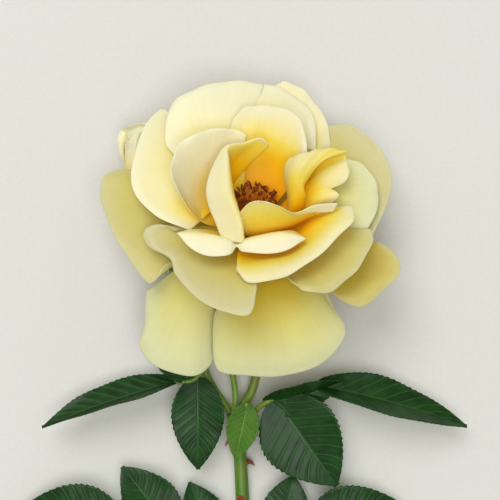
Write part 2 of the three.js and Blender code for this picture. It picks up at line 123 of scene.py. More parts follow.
def softbox(name, place, aim, size, power):
    """A large round area light, aimed at a point, all in metres and watts."""
    data = bpy.data.lights.new(name, "AREA")
    data.shape = "DISK"
    data.size = size
    data.energy = power
    light = bpy.data.objects.new(name, data)
    light.location = place
    direction = np.array(aim) - np.array(place)
    flat = math.hypot(direction[0], direction[1])
    bearing = math.atan2(direction[1], direction[0])
    light.rotation_euler = (math.atan2(flat, -direction[2]), 0, bearing - math.pi / 2)
    bpy.context.collection.objects.link(light)


softbox("sky_softbox", (-0.45, 1.0, 1.75), (0, 0, 0.03), 1.3, 19.5)
softbox("fill_softbox", (0.1, -0.25, 1.9), (0, 0, 0.03), 1.2, 15)
world = bpy.data.worlds.new("studio")
world.use_nodes = True
wire(world.node_tree.nodes["Background"], {"Color": hex_colour("#f4f2ec"), "Strength": 0.42}, {})
bpy.context.scene.world = world

# ---------------------------------------------------------------------------
# The bloom's petals. Each is one thin curved sheet of petal tissue, broad at the tip and narrow at
# its claw, where it joins the receptacle. They overlap in whorls: flat or drooping ones outside,
# cupped ones inside, and a few that fold or roll back on themselves.
bloom_lean = math.radians(50)                # the bloom's axis above the floor
axis = np.array([0.0, math.cos(bloom_lean), math.sin(bloom_lean)])
right = np.array([1.0, 0.0, 0.0])
back = np.array([0.0, math.sin(bloom_lean), -math.cos(bloom_lean)])
receptacle = np.array([1.5, 8.4, 0.0]) + set_down
bloom_frame = (receptacle, axis, right, back)
petal_thick = 0.35
overshoot = 1.35                             # petal lengths that the midrib is worked out for, past the tip
full_width_at = 0.62                         # of the length, where a petal has opened out from its claw
swell = 0.16                                 # of the width, that it gains after that
notch = 0.03                                 # depth of the dip in its tip, of the length


def petal_blade(shape, x, y):
    """Points and inner-side normals, in mm, of a petal whose margin isn't rolled or waved yet."""
    t = (y + 1) / 2
    steps = np.linspace(0, overshoot, 140)
    lift = np.radians(np.interp(steps, np.linspace(0, 1, len(shape["lift"])), shape["lift"]))
    at = math.radians(shape["at"])
    home, up_axis, level_x, level_y = shape["frame"]
    outward = math.cos(at) * level_x + math.sin(at) * level_y
    sideways = -math.sin(at) * level_x + math.cos(at) * level_y
    forward = np.cos(lift)[:, None] * up_axis + np.sin(lift)[:, None] * outward
    inner = np.sin(lift)[:, None] * up_axis - np.cos(lift)[:, None] * outward
    stride = shape["long"] * (steps[1] - steps[0])
    run = np.cumsum((forward[1:] + forward[:-1]) / 2 * stride, axis=0)
    midrib = np.concatenate([[np.zeros(3)], run])
    midrib += home + shape["start"] * outward + shape["height"] * up_axis

    opened = np.clip(t / full_width_at, 0, 1)
    half = shape["claw"] + (1 - shape["claw"]) * opened ** 2 * (3 - 2 * opened)
    half = 0.5 * shape["wide"] * half * (1 + swell * np.exp(-((t - 0.86) / 0.17) ** 2))
    across = x * half
    dip = notch * np.exp(-(across / (0.13 * shape["wide"])) ** 2) * t ** 6
    along = np.clip(t - dip + shape["slant"] * (across / shape["wide"]) * t * t, 0, overshoot)

    def station(table):
        return np.stack([np.interp(along, steps, table[:, i]) for i in range(3)], -1)

    middle, up = station(midrib), station(inner)
    bend = math.radians(shape["cup"]) / shape["wide"]
    turn = bend * across
    points = middle + sideways * (np.sin(turn) / bend)[:, None] + up * ((1 - np.cos(turn)) / bend)[:, None]
    normals = up * np.cos(turn)[:, None] - sideways * np.sin(turn)[:, None]
    return points, normals


roll_curve = 0.5                             # of the rolled margin, the part that bends


def petal_sheet(shape, x, y):
    """Points in mm of the finished petal, and how far its margin is rolled back there, from 0 to 1."""
    radius = np.hypot(x, y)
    points, normals = petal_blade(shape, x, y)

    # The margin rolls back: past a line inside the margin the blade turns on a tight curve.
    unit_x, unit_y = x / np.maximum(radius, 1e-6), y / np.maximum(radius, 1e-6)
    line = shape["roll_from"]
    fold, fold_normal = petal_blade(shape, unit_x * line, unit_y * line)
    before = petal_blade(shape, unit_x * (line - 0.04), unit_y * (line - 0.04))[0]
    edge = petal_blade(shape, unit_x, unit_y)[0]
    heading = fold - before
    heading -= fold_normal * np.sum(heading * fold_normal, axis=1)[:, None]
    heading /= np.maximum(np.linalg.norm(heading, axis=1), 1e-9)[:, None]
    reach = np.maximum(np.linalg.norm(edge - fold, axis=1), 1e-6)
    gone = np.clip((radius - line) / (1 - line), 0, None) * reach
    spread, angle = shape["roll"]
    from_tip = np.degrees(np.arctan2(x, y))
    bend = math.radians(angle) * np.exp(-(from_tip / spread) ** 2) + 1e-4
    curved = np.minimum(gone, roll_curve * reach)
    rate = bend / (roll_curve * reach)
    turned = rate * curved
    onward = np.sin(turned) / rate + (gone - curved) * np.cos(turned)
    down = (1 - np.cos(turned)) / rate + (gone - curved) * np.sin(turned)
    points = points + heading * (onward - gone)[:, None] - fold_normal * down[:, None]
    normals = normals * np.cos(turned)[:, None] + heading * np.sin(turned)[:, None]

    # The margin is never quite even: it waves, and the blade swells between its veins.
    random = np.random.RandomState(shape["seed"])
    round_angle = np.arctan2(x, y)
    t = (y + 1) / 2
    wave = np.zeros_like(x)
    for count in (3, 5, 8, 13, 21):
        wave += random.uniform(0.5, 1) * np.sin(count * round_angle + random.uniform(0, 6.28)) * (3 / (count + 3))
    pillow = np.sin(9 * x + random.uniform(0, 6.28)) * np.sin(2.2 * np.pi * t + random.uniform(0, 6.28))
    free = np.clip((t - 0.15) / 0.4, 0, 1)
    offset = shape["ruffle"] * wave * radius ** 5 + 0.24 * pillow * (1 - np.clip(radius, 0, 1) ** 6)
    return points + normals * (offset * free)[:, None], np.clip(turned / 1.6, 0, 1)


def petal_tissue(name, deep, gold, lemon, cream, edges):
    """Rose petal tissue: moist, faintly velvety and a little see-through, with fine fan-like veins
    that run from claw to margin. It is deepest in colour at the claw and palest near the margin."""
    material, shader = new_material(name)
    uv = add_node(material, "UVMap", uv_map="UVMap")
    tone = add_node(material, "Attribute", attribute_name="paleness")
    drift = add_node(material, "TexNoise", values={"Scale": 3.0, "Detail": 3.0}, links={0: uv.outputs["UV"]})
    shift = add_node(material, "Math", operation="MULTIPLY_ADD",
                     values={1: 0.2, 2: -0.1}, links={0: drift.outputs["Fac"]})
    height = add_node(material, "Math", operation="ADD", links={0: tone.outputs["Fac"], 1: shift})
    ramp = add_node(material, "ValToRGB", links={0: height})
    set_stops(ramp, *zip(edges, (deep, gold, lemon, cream)))

    # Veins about 0.8 mm apart at the margin, closing up towards the claw.
    fan = add_node(material, "Mapping", values={"Scale": (26.0, 1.6, 1.0)}, links={0: uv.outputs["UV"]})
    veins = add_node(material, "TexNoise", values={"Scale": 1.6, "Detail": 4.0, "Roughness": 0.6},
                     links={0: fan})
    vein_line = add_node(material, "MapRange", values={1: 0.3, 2: 0.7, 3: 0.972, 4: 1.012},
                         links={0: veins.outputs["Fac"]})
    tint = add_node(material, "MixRGB", blend_type="MULTIPLY", values={0: 1.0}, links={1: ramp, 2: vein_line})
    grain = add_node(material, "TexCoord")
    cells = add_node(material, "TexNoise", values={"Scale": 1400.0, "Detail": 2.0},
                     links={0: grain.outputs["Object"]})
    relief = add_node(material, "Math", operation="MULTIPLY_ADD", values={1: 0.25},
                      links={0: cells.outputs["Fac"], 2: veins.outputs["Fac"]})
    bump = add_node(material, "Bump", values={"Strength": 0.16, "Distance": 0.0002}, links={"Height": relief})
    wire(shader, {"Roughness": 0.5, "IOR": 1.4, "Specular IOR Level": 0.35, "Subsurface Weight": 0.3,
                  "Subsurface Radius": (1.0, 0.94, 0.8), "Subsurface Scale": 0.0008, "Sheen Weight": 0.04,
                  "Sheen Roughness": 0.5},
         {"Base Color": tint, "Normal": bump})
    return material


# Four tones of the same tissue. The side and outer petals are the oldest and greenish cream, and their tissues
# are also darkened as painted shade: the side one most, for the petals that lie in the bloom's shade, and the
# outer one less. The middle ones are paler and warmer, and the inner ones are deep gold down in the cup.
outer_edges = (0.02, 0.22, 0.5, 0.95)
# Painted shade: the side tissue is the outer one darkened, for the petals that sit in the bloom's shade.
side_tissue_with_shade = petal_tissue("petal_tissue_side_with_painted_shade", "#b48800", "#c8ae34", "#cabf6e", "#ccc89c", outer_edges)
# The outer tissue's greenish cream is the old petals' own colour, darkened a little as painted shade.
outer_tissue_with_shade = petal_tissue("petal_tissue_outer_with_painted_shade", "#c09600", "#d6be38", "#d5ce78", "#d6d8ac", outer_edges)
middle_tissue = petal_tissue("petal_tissue_middle", "#eea400", "#f6cc1c", "#f2e07c", "#eee9c4",
                             (0.08, 0.32, 0.58, 0.96))
inner_tissue = petal_tissue("petal_tissue_inner", "#f0a400", "#f4c000", "#ebd552", "#e7e1ba",
                            (0.12, 0.42, 0.68, 0.97))


# All petals but one are drawn as nets, in rows from claw to margin. A row is (tone, points), and a point is
# (right, down, height) or (right, down, height, tone): right and down in steps over the frame that the camera
# sees, height in mm above the receptacle, and tone from 0, deep gold, to 1, cream. The tones give the petals' own
# gold-to-cream colour and painted shade as well: they are lower where shadow falls on a petal and higher where
# light falls on it. A point without a tone of its own has its row's.
petal_nets = {
    "petal_ribbon": [
        (0, [(240, 214, 1.5), (239, 215, 1.5), (238, 216, 1.5), (237, 217, 1.5), (237, 219, 2), (237, 221, 2),
         (238, 223, 2), (239, 225, 2), (240, 227, 2.2), (241, 229, 2.4), (243, 231, 2.6)]),
        (.2, [(231, 191, 6, .25), (229, 192, 7), (227.5, 193, 8), (227, 194, 9), (227, 197, 10), (228, 201, 11),
         (230, 206, 11.5), (232, 211, 12), (235, 217, 12), (238, 224, 12.5), (241, 230, 13)]),
        (.4, [(247, 167.5, 9, .42), (238, 166, 10.5), (231, 165, 12), (228, 166, 14), (230, 174, 15.5),
         (232, 184, 16), (234, 195, 16), (237, 207, 16.5), (240, 219, 17), (242, 231, 17),
         (243, 241, 17, .45)]),
        (.85, [(265, 150, 11.5, .6), (256, 144, 13, .66), (243, 147, 14.5, .66), (229.5, 149, 17, .75),
         (227.8, 158, 19), (227.5, 176, 20), (229.5, 192, 20.5), (235, 207.5, 21), (239, 219.5, 21),
         (241.5, 231, 21), (242.8, 243, 20.5)]),
        (.95, [(269.3, 143.5, 12.3, .8), (261, 138, 13.8, .9), (245, 141.5, 15, .9), (227.5, 144.5, 17.5),
         (217, 158, 17.5), (208, 176, 17.5), (206, 191, 18), (209.5, 207.5, 18), (214, 221, 18.5),
         (219, 232, 18.5, .93), (224, 241, 18.5, .93)])],
    "petal_fold_right": [
        (0, [(262, 222, 2), (265, 221, 2), (268, 220, 2), (270, 219, 2), (272, 218, 2)]),
        (.35, [(283, 214, 6), (286, 214, 7.5, .38), (290, 213.5, 8.5), (295, 212.5, 8.5),
         (299, 211.5, 7.5, .3)]),
        (.4, [(287.5, 200, 9, .6), (291, 199, 11.5, .52), (297, 198, 12.5, .48), (303, 197, 12, .42),
         (305.8, 196, 10.5)]),
        (.5, [(284.8, 180, 10, .8), (288, 178, 13, .75), (295, 177, 15, .7), (302.5, 181, 14.5, .62),
         (305, 184.5, 13)]),
        (.7, [(284.5, 167, 10.5, .8), (291, 163, 13.5, .85), (303, 162, 16, .82), (315, 163, 15.5, .75),
         (323, 161.5, 14.5)]),
        (.7, [(288, 160, 10.5, .85), (296, 155, 13, .9), (313, 150.5, 14.5, .88), (331, 148, 13.5, .75),
         (348.5, 151.5, 12)])],
    "petal_split": [
        (0, [(268, 223, 2), (268, 222, 2), (268, 221, 2), (268.5, 220, 2), (269, 219, 2), (269.5, 218, 2),
         (270, 217, 2)]),
        (.35, [(299, 210, 6), (302, 204, 6.8, .38), (303, 198, 7), (303, 193, 7, .3), (303, 189, 6.8, .25),
         (304, 186, 6.2, .15), (304, 181, 5, .1)]),
        (.75, [(314, 207, 7.5, .7), (320, 200, 9.3), (321, 190, 9, .7), (322, 182, 9.6), (322, 175, 9.3),
         (322, 169, 8.8, .55), (322, 161.5, 7, .2)]),
        (.85, [(331, 204, 8.5), (339.5, 195, 10, .9), (331.5, 188.5, 9.3, .8), (343, 184, 10, .92),
         (349.5, 171, 9.8, .92), (346, 159.5, 9.5), (347, 154, 8, .35)])],
    "petal_curl_front": [
        (0, [(250.5, 228.5, 3), (250, 228, 2.5), (252, 229, 2.5), (255, 229.5, 2.5), (258, 229.5, 2.5),
         (261, 229, 2.5), (264, 228, 2.5), (266, 226, 2.5)]),
        (.3, [(250, 236, 11.5, .85), (243, 233, 9, .4), (248, 236, 9.5), (256, 237, 9.5), (265, 236, 9.5),
         (274, 233, 9, .28), (283, 229, 8, .25), (292, 223, 7, .25)]),
        (.6, [(246, 229, 16.5, .9), (240.5, 228, 15), (247, 228, 15.5, .62), (258, 228, 16),
         (270, 227, 16, .55), (284, 226, 15, .42), (298, 222, 13, .32), (313, 214.5, 11, .35)]),
        (.9, [(243, 219, 20), (239.5, 217, 19, .8), (248, 206, 21, .78), (263, 203.5, 22, .76),
         (278, 208, 21.5, .72), (294, 213.5, 19.5, .7), (315, 205.5, 18), (337, 203, 15.5)]),
        (.9, [(242, 217, 20), (239, 215.5, 19.3), (247.5, 204.8, 21.2), (263, 202.5, 22.3), (278, 207, 21.8),
         (294, 214.5, 19.2, .85), (315, 212.5, 17, .97), (334, 211.5, 14.5, .97)])],
    "petal_lip_front": [
        (0, [(247, 231, 2.5), (248.5, 231.5, 2.5), (250, 232, 2.5), (252, 232.5, 2.5), (254, 233, 2.5),
         (256, 232.5, 2.5), (258, 232, 2.5), (260, 231.5, 2.5), (262, 231, 2.5)]),
        (.25, [(226, 232, 9), (233, 235, 10), (240, 238, 10.5), (246, 240, 10.5), (252, 241, 10.5),
         (258, 240, 10.5), (265, 238.5, 10.5), (274, 235, 10), (284, 231, 9)]),
        (.42, [(196, 229, 15.5), (206, 232, 16.5), (217, 235.5, 17), (228, 238.5, 17), (238, 241, 16.5),
         (247, 238.5, 17), (260, 235.5, 17), (277, 232, 16.5), (293, 230.5, 15.5)]),
        (.85, [(178, 232.5, 20.5), (195, 234, 21), (214, 237.5, 21), (229, 241, 20.5), (236.3, 245, 19),
         (244, 241.5, 20.5), (259, 238, 21), (284, 234, 21), (305, 237.5, 20)]),
        (1, [(178, 234, 21), (190, 247.5, 22.5), (208, 256.5, 22.5), (229, 254.5, 21.5), (236.3, 247.5, 19),
         (244, 251.5, 21), (264, 254, 22), (289, 249.5, 21.5), (305, 239.5, 20)])],
    "petal_lip_right": [
        (0, [(252, 231, 2.5), (254, 231.5, 2.5), (256, 232, 2.5), (259, 232, 2.5), (262, 231, 2.5),
         (264, 229, 2.5), (266, 226, 2.5), (267, 222, 2.5)]),
        (.25, [(240, 246, 12), (246, 248, 12), (258, 248, 11.5), (270, 246, 11), (281, 241, 10),
         (290, 233, 8.5), (297, 223, 7), (299, 212, 5)]),
        (.42, [(237, 257, 17), (245, 259, 17.5), (263, 257, 17), (281, 252, 15.5), (294, 245, 14, .4),
         (305, 231, 13, .38), (314, 219, 12), (322, 209, 9, .5)]),
        (.64, [(237, 264, 20, .7), (246, 265.5, 21, .66), (267, 262, 21), (288, 257, 20), (303, 248, 18.5),
         (317, 233, 17, .62), (330, 218, 15.5), (338, 207, 11.5, .7)]),
        (.86, [(236, 268, 21.5, .82), (246, 274, 23.5, .85), (267, 272, 24.5), (290, 266, 23.5),
         (308, 255, 21.5), (327, 236, 19.5), (343, 219, 18), (346, 205.5, 13.5, .9)]),
        (.95, [(236, 271, 21.5), (246.5, 281.5, 24), (267, 281.5, 25.5), (291, 274, 24.5), (313, 260, 22.5),
         (336, 239.5, 20), (353, 221, 18.5), (352, 206, 14)])],
    "petal_shoulder_left": [
        (0, [(238, 212, 0), (238, 213, 0), (237.5, 214, 0), (237, 215, 0), (237.5, 216.5, 0), (238, 218, 0),
         (239, 219.5, 0), (241, 221, .5)]),
        (.26, [(215, 170, -1, .35), (212, 170, -1, .33), (209, 174, 0, .3), (206, 181, 1, .28), (204, 188, 2),
         (205, 196, 3), (209, 203, 4, .2), (216, 211, 5, .18)]),
        (.74, [(190, 137, -3.5, .75), (184, 137, -3, .75), (178, 145, -0.5), (172, 158, 2.5), (169, 176, 5.5),
         (173, 192, 8), (183, 206, 9.5, .55), (202, 220, 10, .45)]),
        (.88, [(175, 119, -5), (167, 119, -4), (157, 129, -1), (147, 148, 3.5), (142, 174, 8), (149, 196, 11),
         (165, 212, 13), (193, 228, 13.5, .8)]),
        (.97, [(171, 113, -5.5), (160, 109.5, -4.8), (148, 121, -1.5), (137, 145, 3.5), (131, 174, 8.5),
         (138, 199, 12), (157, 216, 14), (190, 231, 14.5)])],
    "petal_front_left": [
        (0, [(245, 229, 1), (245.5, 229.5, 1), (246, 230, 1), (247, 230.5, 1), (248, 231, 1), (249, 231.5, 1),
         (250.5, 232, 1), (252, 232, 1), (254, 232, 1), (256, 231, 1)]),
        (.2, [(222, 226, 5), (219, 227, 5), (216, 230, 5.5), (215, 234, 6), (217, 238, 7), (221, 242, 8),
         (228, 246, 9), (236, 248, 10), (244, 248, 10.5), (250, 244, 10)]),
        (.5, [(198, 227, 9), (188, 227, 9.5), (180, 231, 10), (181, 240, 11), (189, 248, 12.5),
         (199, 257, 14.5), (212, 267, 17), (229, 273, 19, .42), (246, 272, 19.5, .36), (254, 262, 18, .3)]),
        (.82, [(181, 229, 12), (165, 226, 12.5), (153, 232, 13), (158, 246, 14), (174, 256, 16), (183, 271, 19),
         (200, 289, 23), (225, 302, 26), (248, 304, 27), (256, 280, 23, .6)]),
        (.96, [(176, 231, 12), (158, 224.5, 12.5), (144, 232, 12.5), (150, 248, 13.5), (170, 259, 16),
         (176, 275, 19.5), (194, 296, 24), (222, 311, 27.5), (249, 314.5, 28.5), (257, 286, 24)])],
    "petal_left": [
        (0, [(240, 218, -2), (239.5, 219, -2), (239, 220, -2), (239, 221.5, -2), (239.5, 223, -2),
         (240, 224.5, -2), (241, 226, -2), (242.5, 228, -2), (244, 229, -2)]),
        (.25, [(205, 192, -2), (202, 192, -2), (199, 194, -1.5), (197, 197, -1), (196, 201, 0), (198, 210, 1),
         (204, 220, 2), (213, 230, 3), (220, 232, 3.5)]),
        (.45, [(165, 179, -3), (155, 178, -2.8), (147, 182, -1.5), (144, 191, 0), (145, 203, 1.5),
         (151, 220, 4), (163, 240, 6), (180, 257, 8), (188, 252, 9)]),
        (.62, [(142, 172, -4), (128, 171, -3.5), (116, 177, -1.5), (112, 190, .5), (115, 205, 2.5),
         (123, 229, 6), (140, 254, 9), (158, 275, 11), (167, 264, 12)]),
        (.85, [(135, 171, -4.5), (118, 170, -4), (104, 176, -2), (100, 190, 0), (103, 206, 2), (112, 232, 6),
         (130, 260, 9), (149, 283, 11), (160, 270, 12)])],
    "petal_hanging_left": [
        (0, [(244, 230, -3), (244.5, 231, -3), (245, 232, -3), (246, 233, -3), (248, 234, -3), (250, 234, -3),
         (252, 233, -3)]),
        (.2, [(205, 250, 2), (206, 255, 2), (208, 260, 2), (214, 264, 2), (222, 266, 2), (228, 264, 1.5),
         (232, 258, 1)]),
        (.55, [(172, 272, 2), (171, 285, 2), (172, 298, 2), (181, 309, 2), (199, 314, 2), (212, 308, 1),
         (217, 296, 0)]),
        (.85, [(154, 286, .5), (152, 309, .5), (149, 331, .5), (163, 350, 1), (190, 359, 1), (208, 349, 0),
         (215, 330, -1)]),
        (.95, [(146, 290, -1), (145, 320, -1.5), (139.5, 346, -1.5), (156, 366, -0.5), (190, 376.5, -0.5),
         (211, 364, -1.5), (216, 340, -2.5)])],
    "petal_hanging": [
        (0, [(250, 230, -2), (250.5, 231, -2), (251, 232, -2), (253, 233, -2), (256, 233.5, -2), (259, 233, -2),
         (261, 232, -2), (262, 231, -2), (262.5, 230, -2)]),
        (.12, [(240, 262, 4), (241, 266, 4.5), (244, 270, 5), (252, 273, 5.5), (264, 273, 5.5), (276, 270, 5),
         (286, 263, 4.5), (290, 257, 4), (290, 252, 3.5)]),
        (.45, [(224, 292, 7, .5), (224, 303, 7.5, .5), (230, 315, 8), (249, 321, 8.5, .38),
         (274, 320, 8.5, .38), (299, 313, 8, .38), (316, 296, 7), (314, 284, 6), (310, 275, 5)]),
        (.75, [(216, 310, 6), (215, 330, 6.5), (221, 352, 7), (246, 359, 7.5), (280, 358, 7.5), (313, 349, 7),
         (336, 323, 6), (328, 302, 5), (321, 287, 4.5)]),
        (.92, [(214, 316, 5), (212.5, 340, 5), (218, 369, 5), (245, 376, 5.5), (283, 375.5, 5.5), (320, 365, 5),
         (345.5, 333, 4.5), (334, 308, 4), (326, 290, 4)])],
    "petal_front_right": [
        (0, [(256, 233, 0), (258, 233, 0), (260, 232.5, 0), (262, 231, 0), (263, 229.5, 0), (264, 228, 0),
         (264, 226, 0)]),
        (.2, [(266, 252, 8), (272, 254, 8), (282, 253, 7.5), (290, 249, 7), (296, 243, 6), (300, 236, 5),
         (302, 229, 4.5)]),
        (.36, [(280, 270, 17), (288, 274, 17), (303, 272, 15.5), (316, 264, 14), (327, 253, 12),
         (335, 241, 10.5), (340, 228, 9)]),
        (.55, [(290, 281, 20.5), (301, 284.5, 20.5), (321, 284, 19.5), (338, 274, 18), (350, 260, 15.5),
         (357, 244, 13), (360, 229, 10.5)]),
        (.85, [(296, 285.5, 21), (305, 290.5, 21), (327, 293, 20), (346, 281, 18.5), (362, 263, 16),
         (372.5, 243, 13), (371, 229, 10.5)])],
    "petal_low_right": [
        (0, [(258, 233, -3), (260, 233, -3), (262, 232, -3), (264, 230.5, -3), (265, 229, -3), (266, 227, -3),
         (266, 225, -3)]),
        (.2, [(280, 256, 2), (288, 258, 2.5), (298, 256, 2), (306, 250, 1), (312, 243, 0), (316, 236, -1),
         (318, 228, -2)]),
        (.24, [(304, 276, 6), (316, 280, 7), (330, 278, 6.5), (343, 270, 5), (352, 259, 3), (357, 248, 1),
         (358, 237, -1)]),
        (.4, [(322, 287, 8.5), (338, 294, 9.5), (357, 294.5, 9.5), (374, 283, 8), (383, 270, 5),
         (383, 256, 2.5), (374, 242, 0)]),
        (.7, [(329, 291, 9), (342, 300, 9.5), (361, 307, 9.5), (383, 291.5, 8), (400, 271, 5), (395, 254, 2.5),
         (378, 242, 0)])],
    "petal_right": [
        (0, [(262, 210, -3), (264, 211, -3), (265, 213, -3), (266, 215, -3), (267, 218, -3), (267, 220, -3),
         (267, 222, -3)]),
        (.25, [(286, 176, -3.5), (294, 175, -3.5), (303, 179, -3), (310, 187, -2), (314, 196, -1),
         (315, 206, 0), (313, 216, 1)]),
        (.55, [(308, 148, -5), (322, 147, -5), (335, 154, -4.5), (346, 166, -3), (351, 181, -1), (350, 200, 1),
         (344, 222, 3)]),
        (.8, [(322, 131, -6.5), (342, 130.5, -6.5), (359, 142, -5.5), (377, 162, -2.5), (383, 182, 0),
         (377, 208, 3.5), (361, 234, 5.5)]),
        (.9, [(326, 126, -7), (345, 124, -7), (361, 130, -6), (386, 157, -2.5), (392, 180, 0), (384, 213, 4),
         (369, 240, 6.5)])],
    "petal_cup_left": [
        (0, [(238, 226, 1.5), (237, 224, 1.5), (236.5, 222, 1.5), (236.5, 219, 1), (238, 216, 1), (240, 214, 1),
         (243, 212, 1), (246, 211, 1)]),
        (.38, [(212, 226, 7), (208, 220, 7), (206, 213, 6.5), (208, 202, 6), (213, 192, 5.5), (222, 184, 5),
         (233, 180, 4.5), (245, 180, 4)]),
        (.85, [(194, 216, 14, .5), (190, 207, 13.5, .6), (188, 196, 13), (191, 181, 12), (198, 168, 11),
         (211, 158, 10), (228, 153, 9), (246, 155, 8)]),
        (.94, [(181, 197, 19), (177, 187, 18.5), (176, 174, 17.5), (181, 157, 16), (193, 144, 14.5),
         (211, 137, 13), (230, 134.5, 11.5), (246, 139, 10)]),
        (1, [(176, 188, 20.5), (172, 176, 20), (171, 164, 19), (178, 146, 17), (194, 134, 15), (214, 129, 13.5),
         (233, 129, 12), (248, 136, 10)])],
    "petal_cup_back": [
        (0, [(244, 212, 1), (247, 210, 1), (250, 209, 1), (254, 209, 1), (258, 209, 1), (262, 210, 1),
         (265, 212, 1), (267, 214, 1)]),
        (.27, [(234, 180, 3), (241, 174, 3.5), (250, 170.5, 4), (260, 169.5, 4), (270, 170, 4), (279, 173, 4.5),
         (286, 179, 5), (290, 187, 5)]),
        (.7, [(228, 152, 5), (237, 143, 5.5), (249, 138, 6), (262, 136, 6.5), (275, 138, 7), (287, 143.5, 7.5),
         (295, 152, 8), (300, 172, 8)]),
        (.95, [(231, 125, 5.5), (240, 115, 6), (252, 112, 6), (267, 111.5, 6.5), (282, 113.5, 7), (295, 122, 8),
         (301, 134, 9), (304, 164, 9.5)]),
        (1, [(234, 117, 5), (243, 107, 5.2), (256, 105, 5.5), (271, 105.5, 6), (285, 108, 6.8), (299, 118, 8),
         (305.5, 134, 9), (307.5, 162, 9.8)])],
    "petal_side_right": [
        (0, [(264, 212, -1), (265, 213.5, -1), (266, 215, -1), (266.5, 217, -1), (267, 219, -1), (267, 221, -1),
         (266.5, 223, -1)]),
        (.25, [(292, 184, 1), (298, 185, 1.5), (304, 189, 2), (308, 195, 2.5), (310, 202, 3), (310, 210, 3.5),
         (308, 220, 4)]),
        (.6, [(320, 168, 1.5), (330, 168, 2), (338, 174, 3), (344, 184, 4), (347, 195, 5), (346, 209, 6),
         (338, 228, 7)]),
        (.88, [(338, 161, 1.5), (351, 162.5, 2), (361, 171, 3), (369, 184, 4.5), (371, 197, 6), (366, 215, 7.5),
         (353, 236, 8.5)]),
        (.96, [(343, 159, 1.5), (357, 161, 2), (368, 169, 3), (377, 185, 4.5), (378.5, 199, 6),
         (374.5, 217, 7.5), (362, 240, 8.5)])],
    "petal_back_left": [
        (0, [(240, 214, -1), (241, 212, -1), (243, 210, -1), (245, 208, -1), (247, 207, -1), (250, 206, -1),
         (253, 206, -1)]),
        (.3, [(212, 190, 2), (211, 181, 2.5), (216, 173, 3), (224, 168, 3), (233, 165, 3), (243, 164, 2.5),
         (253, 165, 2)]),
        (.82, [(184, 165, 3.5), (184, 148, 4), (192, 134, 4.5), (206, 125, 4.2), (222, 120, 3.6),
         (240, 118, 2.4), (256, 118, 1)]),
        (.96, [(168, 148, 3.5), (169, 124, 3.5), (180, 106, 3), (200, 95, 1.8), (224, 90, 0), (246, 89, -1.5),
         (262, 91, -2.7)]),
        (1, [(165, 142, 3), (167, 114, 2.5), (178, 98, 1.5), (201, 86.5, 0), (228, 81, -2), (249, 81.5, -3.4),
         (264, 85, -4.5)])],
    "petal_back": [
        (0, [(244, 210, -1.5), (247, 208, -1.5), (250, 207, -1.5), (253, 206.5, -1.5), (256, 207, -1.5),
         (259, 208, -1.5), (262, 210, -1.5)]),
        (.3, [(226, 168, 1), (236, 162, 1), (248, 158.5, 1.2), (260, 158, 1.4), (271, 161, 1.6),
         (281, 167, 1.6), (288, 178, 1.5)]),
        (.78, [(215, 126, .6), (230, 116, .6), (249, 111, .4), (267, 111, .5), (284, 117, .8), (298, 130, .8),
         (304, 152, 1)]),
        (.95, [(214, 98, -3), (231, 91, -3.6), (252, 90, -3.6), (274, 92, -3), (293, 102, -2.4),
         (307, 120, -1.5), (311, 150, -0.5)]),
        (1, [(216, 90, -4.5), (233, 83, -5.4), (253, 82.5, -5.2), (276, 86.5, -4.6), (298, 98.5, -3.8),
         (315, 120, -2.6), (316, 155, -1)])],
    "petal_back_right": [
        (0, [(258, 208, -2.5), (260, 208, -2.5), (262, 209, -2.5), (264, 210, -2.5), (265, 212, -2.5),
         (266, 214, -2.5)]),
        (.25, [(268, 166, -1), (276, 165, -1), (284, 167, -1), (291, 172, -1), (296, 179, -1), (298, 188, -1)]),
        (.55, [(272, 124, -3), (284, 121, -3), (297, 126, -3), (307, 135, -3), (314, 147, -3),
         (316, 161, -2.5)]),
        (.85, [(270, 96, -6), (286, 92, -6), (302, 100, -5.5), (314, 114, -5), (322, 131, -4.5),
         (324, 150, -4)]),
        (.95, [(268, 88, -7.5), (286, 81.5, -7.5), (305, 91, -7), (319, 108, -6), (329, 128, -5.5),
         (330, 150, -5)])],
}


net_step = 0.3                               # mm at the receptacle's level, and less above it
net_middle = 250                             # in both directions, the place right under the camera


def woven(net, a, b):
    """Points in mm and tones of a sheet that passes smoothly through its net. a runs across it and b
    along it, both from -1 to 1, and each place weighs the four nearest points either way."""
    table = np.array([[(*point[:3], *(point[3:] or (tone,))) for point in row] for tone, row in net], float)
    table = np.concatenate([2 * table[:1] - table[1:2], table, 2 * table[-1:] - table[-2:-1]], axis=0)
    table = np.concatenate([2 * table[:, :1] - table[:, 1:2], table, 2 * table[:, -1:] - table[:, -2:-1]], axis=1)

    def taps(place, count):
        place = (place + 1) / 2 * (count - 1)
        first = np.clip(np.floor(place), 0, count - 2).astype(int)
        f = place - first
        return first, (0.5 * (-f + 2 * f ** 2 - f ** 3), 0.5 * (2 - 5 * f ** 2 + 3 * f ** 3),
                       0.5 * (f + 4 * f ** 2 - 3 * f ** 3), 0.5 * (f ** 3 - f ** 2))

    row, row_weights = taps(b, len(net))
    column, column_weights = taps(a, len(net[0][1]))
    found = sum(row_weights[i][:, None] * column_weights[j][:, None] * table[row + i, column + j]
                for i in range(4) for j in range(4))
    right_at, down_at, height, tone = found.T
    # A little play of the tissue, growing towards the margin, so that no two margins run alike.
    play = ((b + 1) / 2) ** 4
    phase = table[1, 1, 0] + 3 * table[-1, -1, 1]
    right_at = right_at + 0.5 * play * np.sin(11 * a + phase)
    down_at = down_at + 0.5 * play * np.sin(14 * a + 2 * phase)
    height = height + 0.25 * play * np.sin(6 * a + phase) + 0.15 * play * np.sin(17 * a + 3 * phase)
    step_here = net_step * (1 - height / camera_height)
    level = [(right_at - net_middle) * step_here, (net_middle - down_at) * step_here]
    return np.stack([*level, height], -1) + set_down, np.clip(tone, 0, 1)


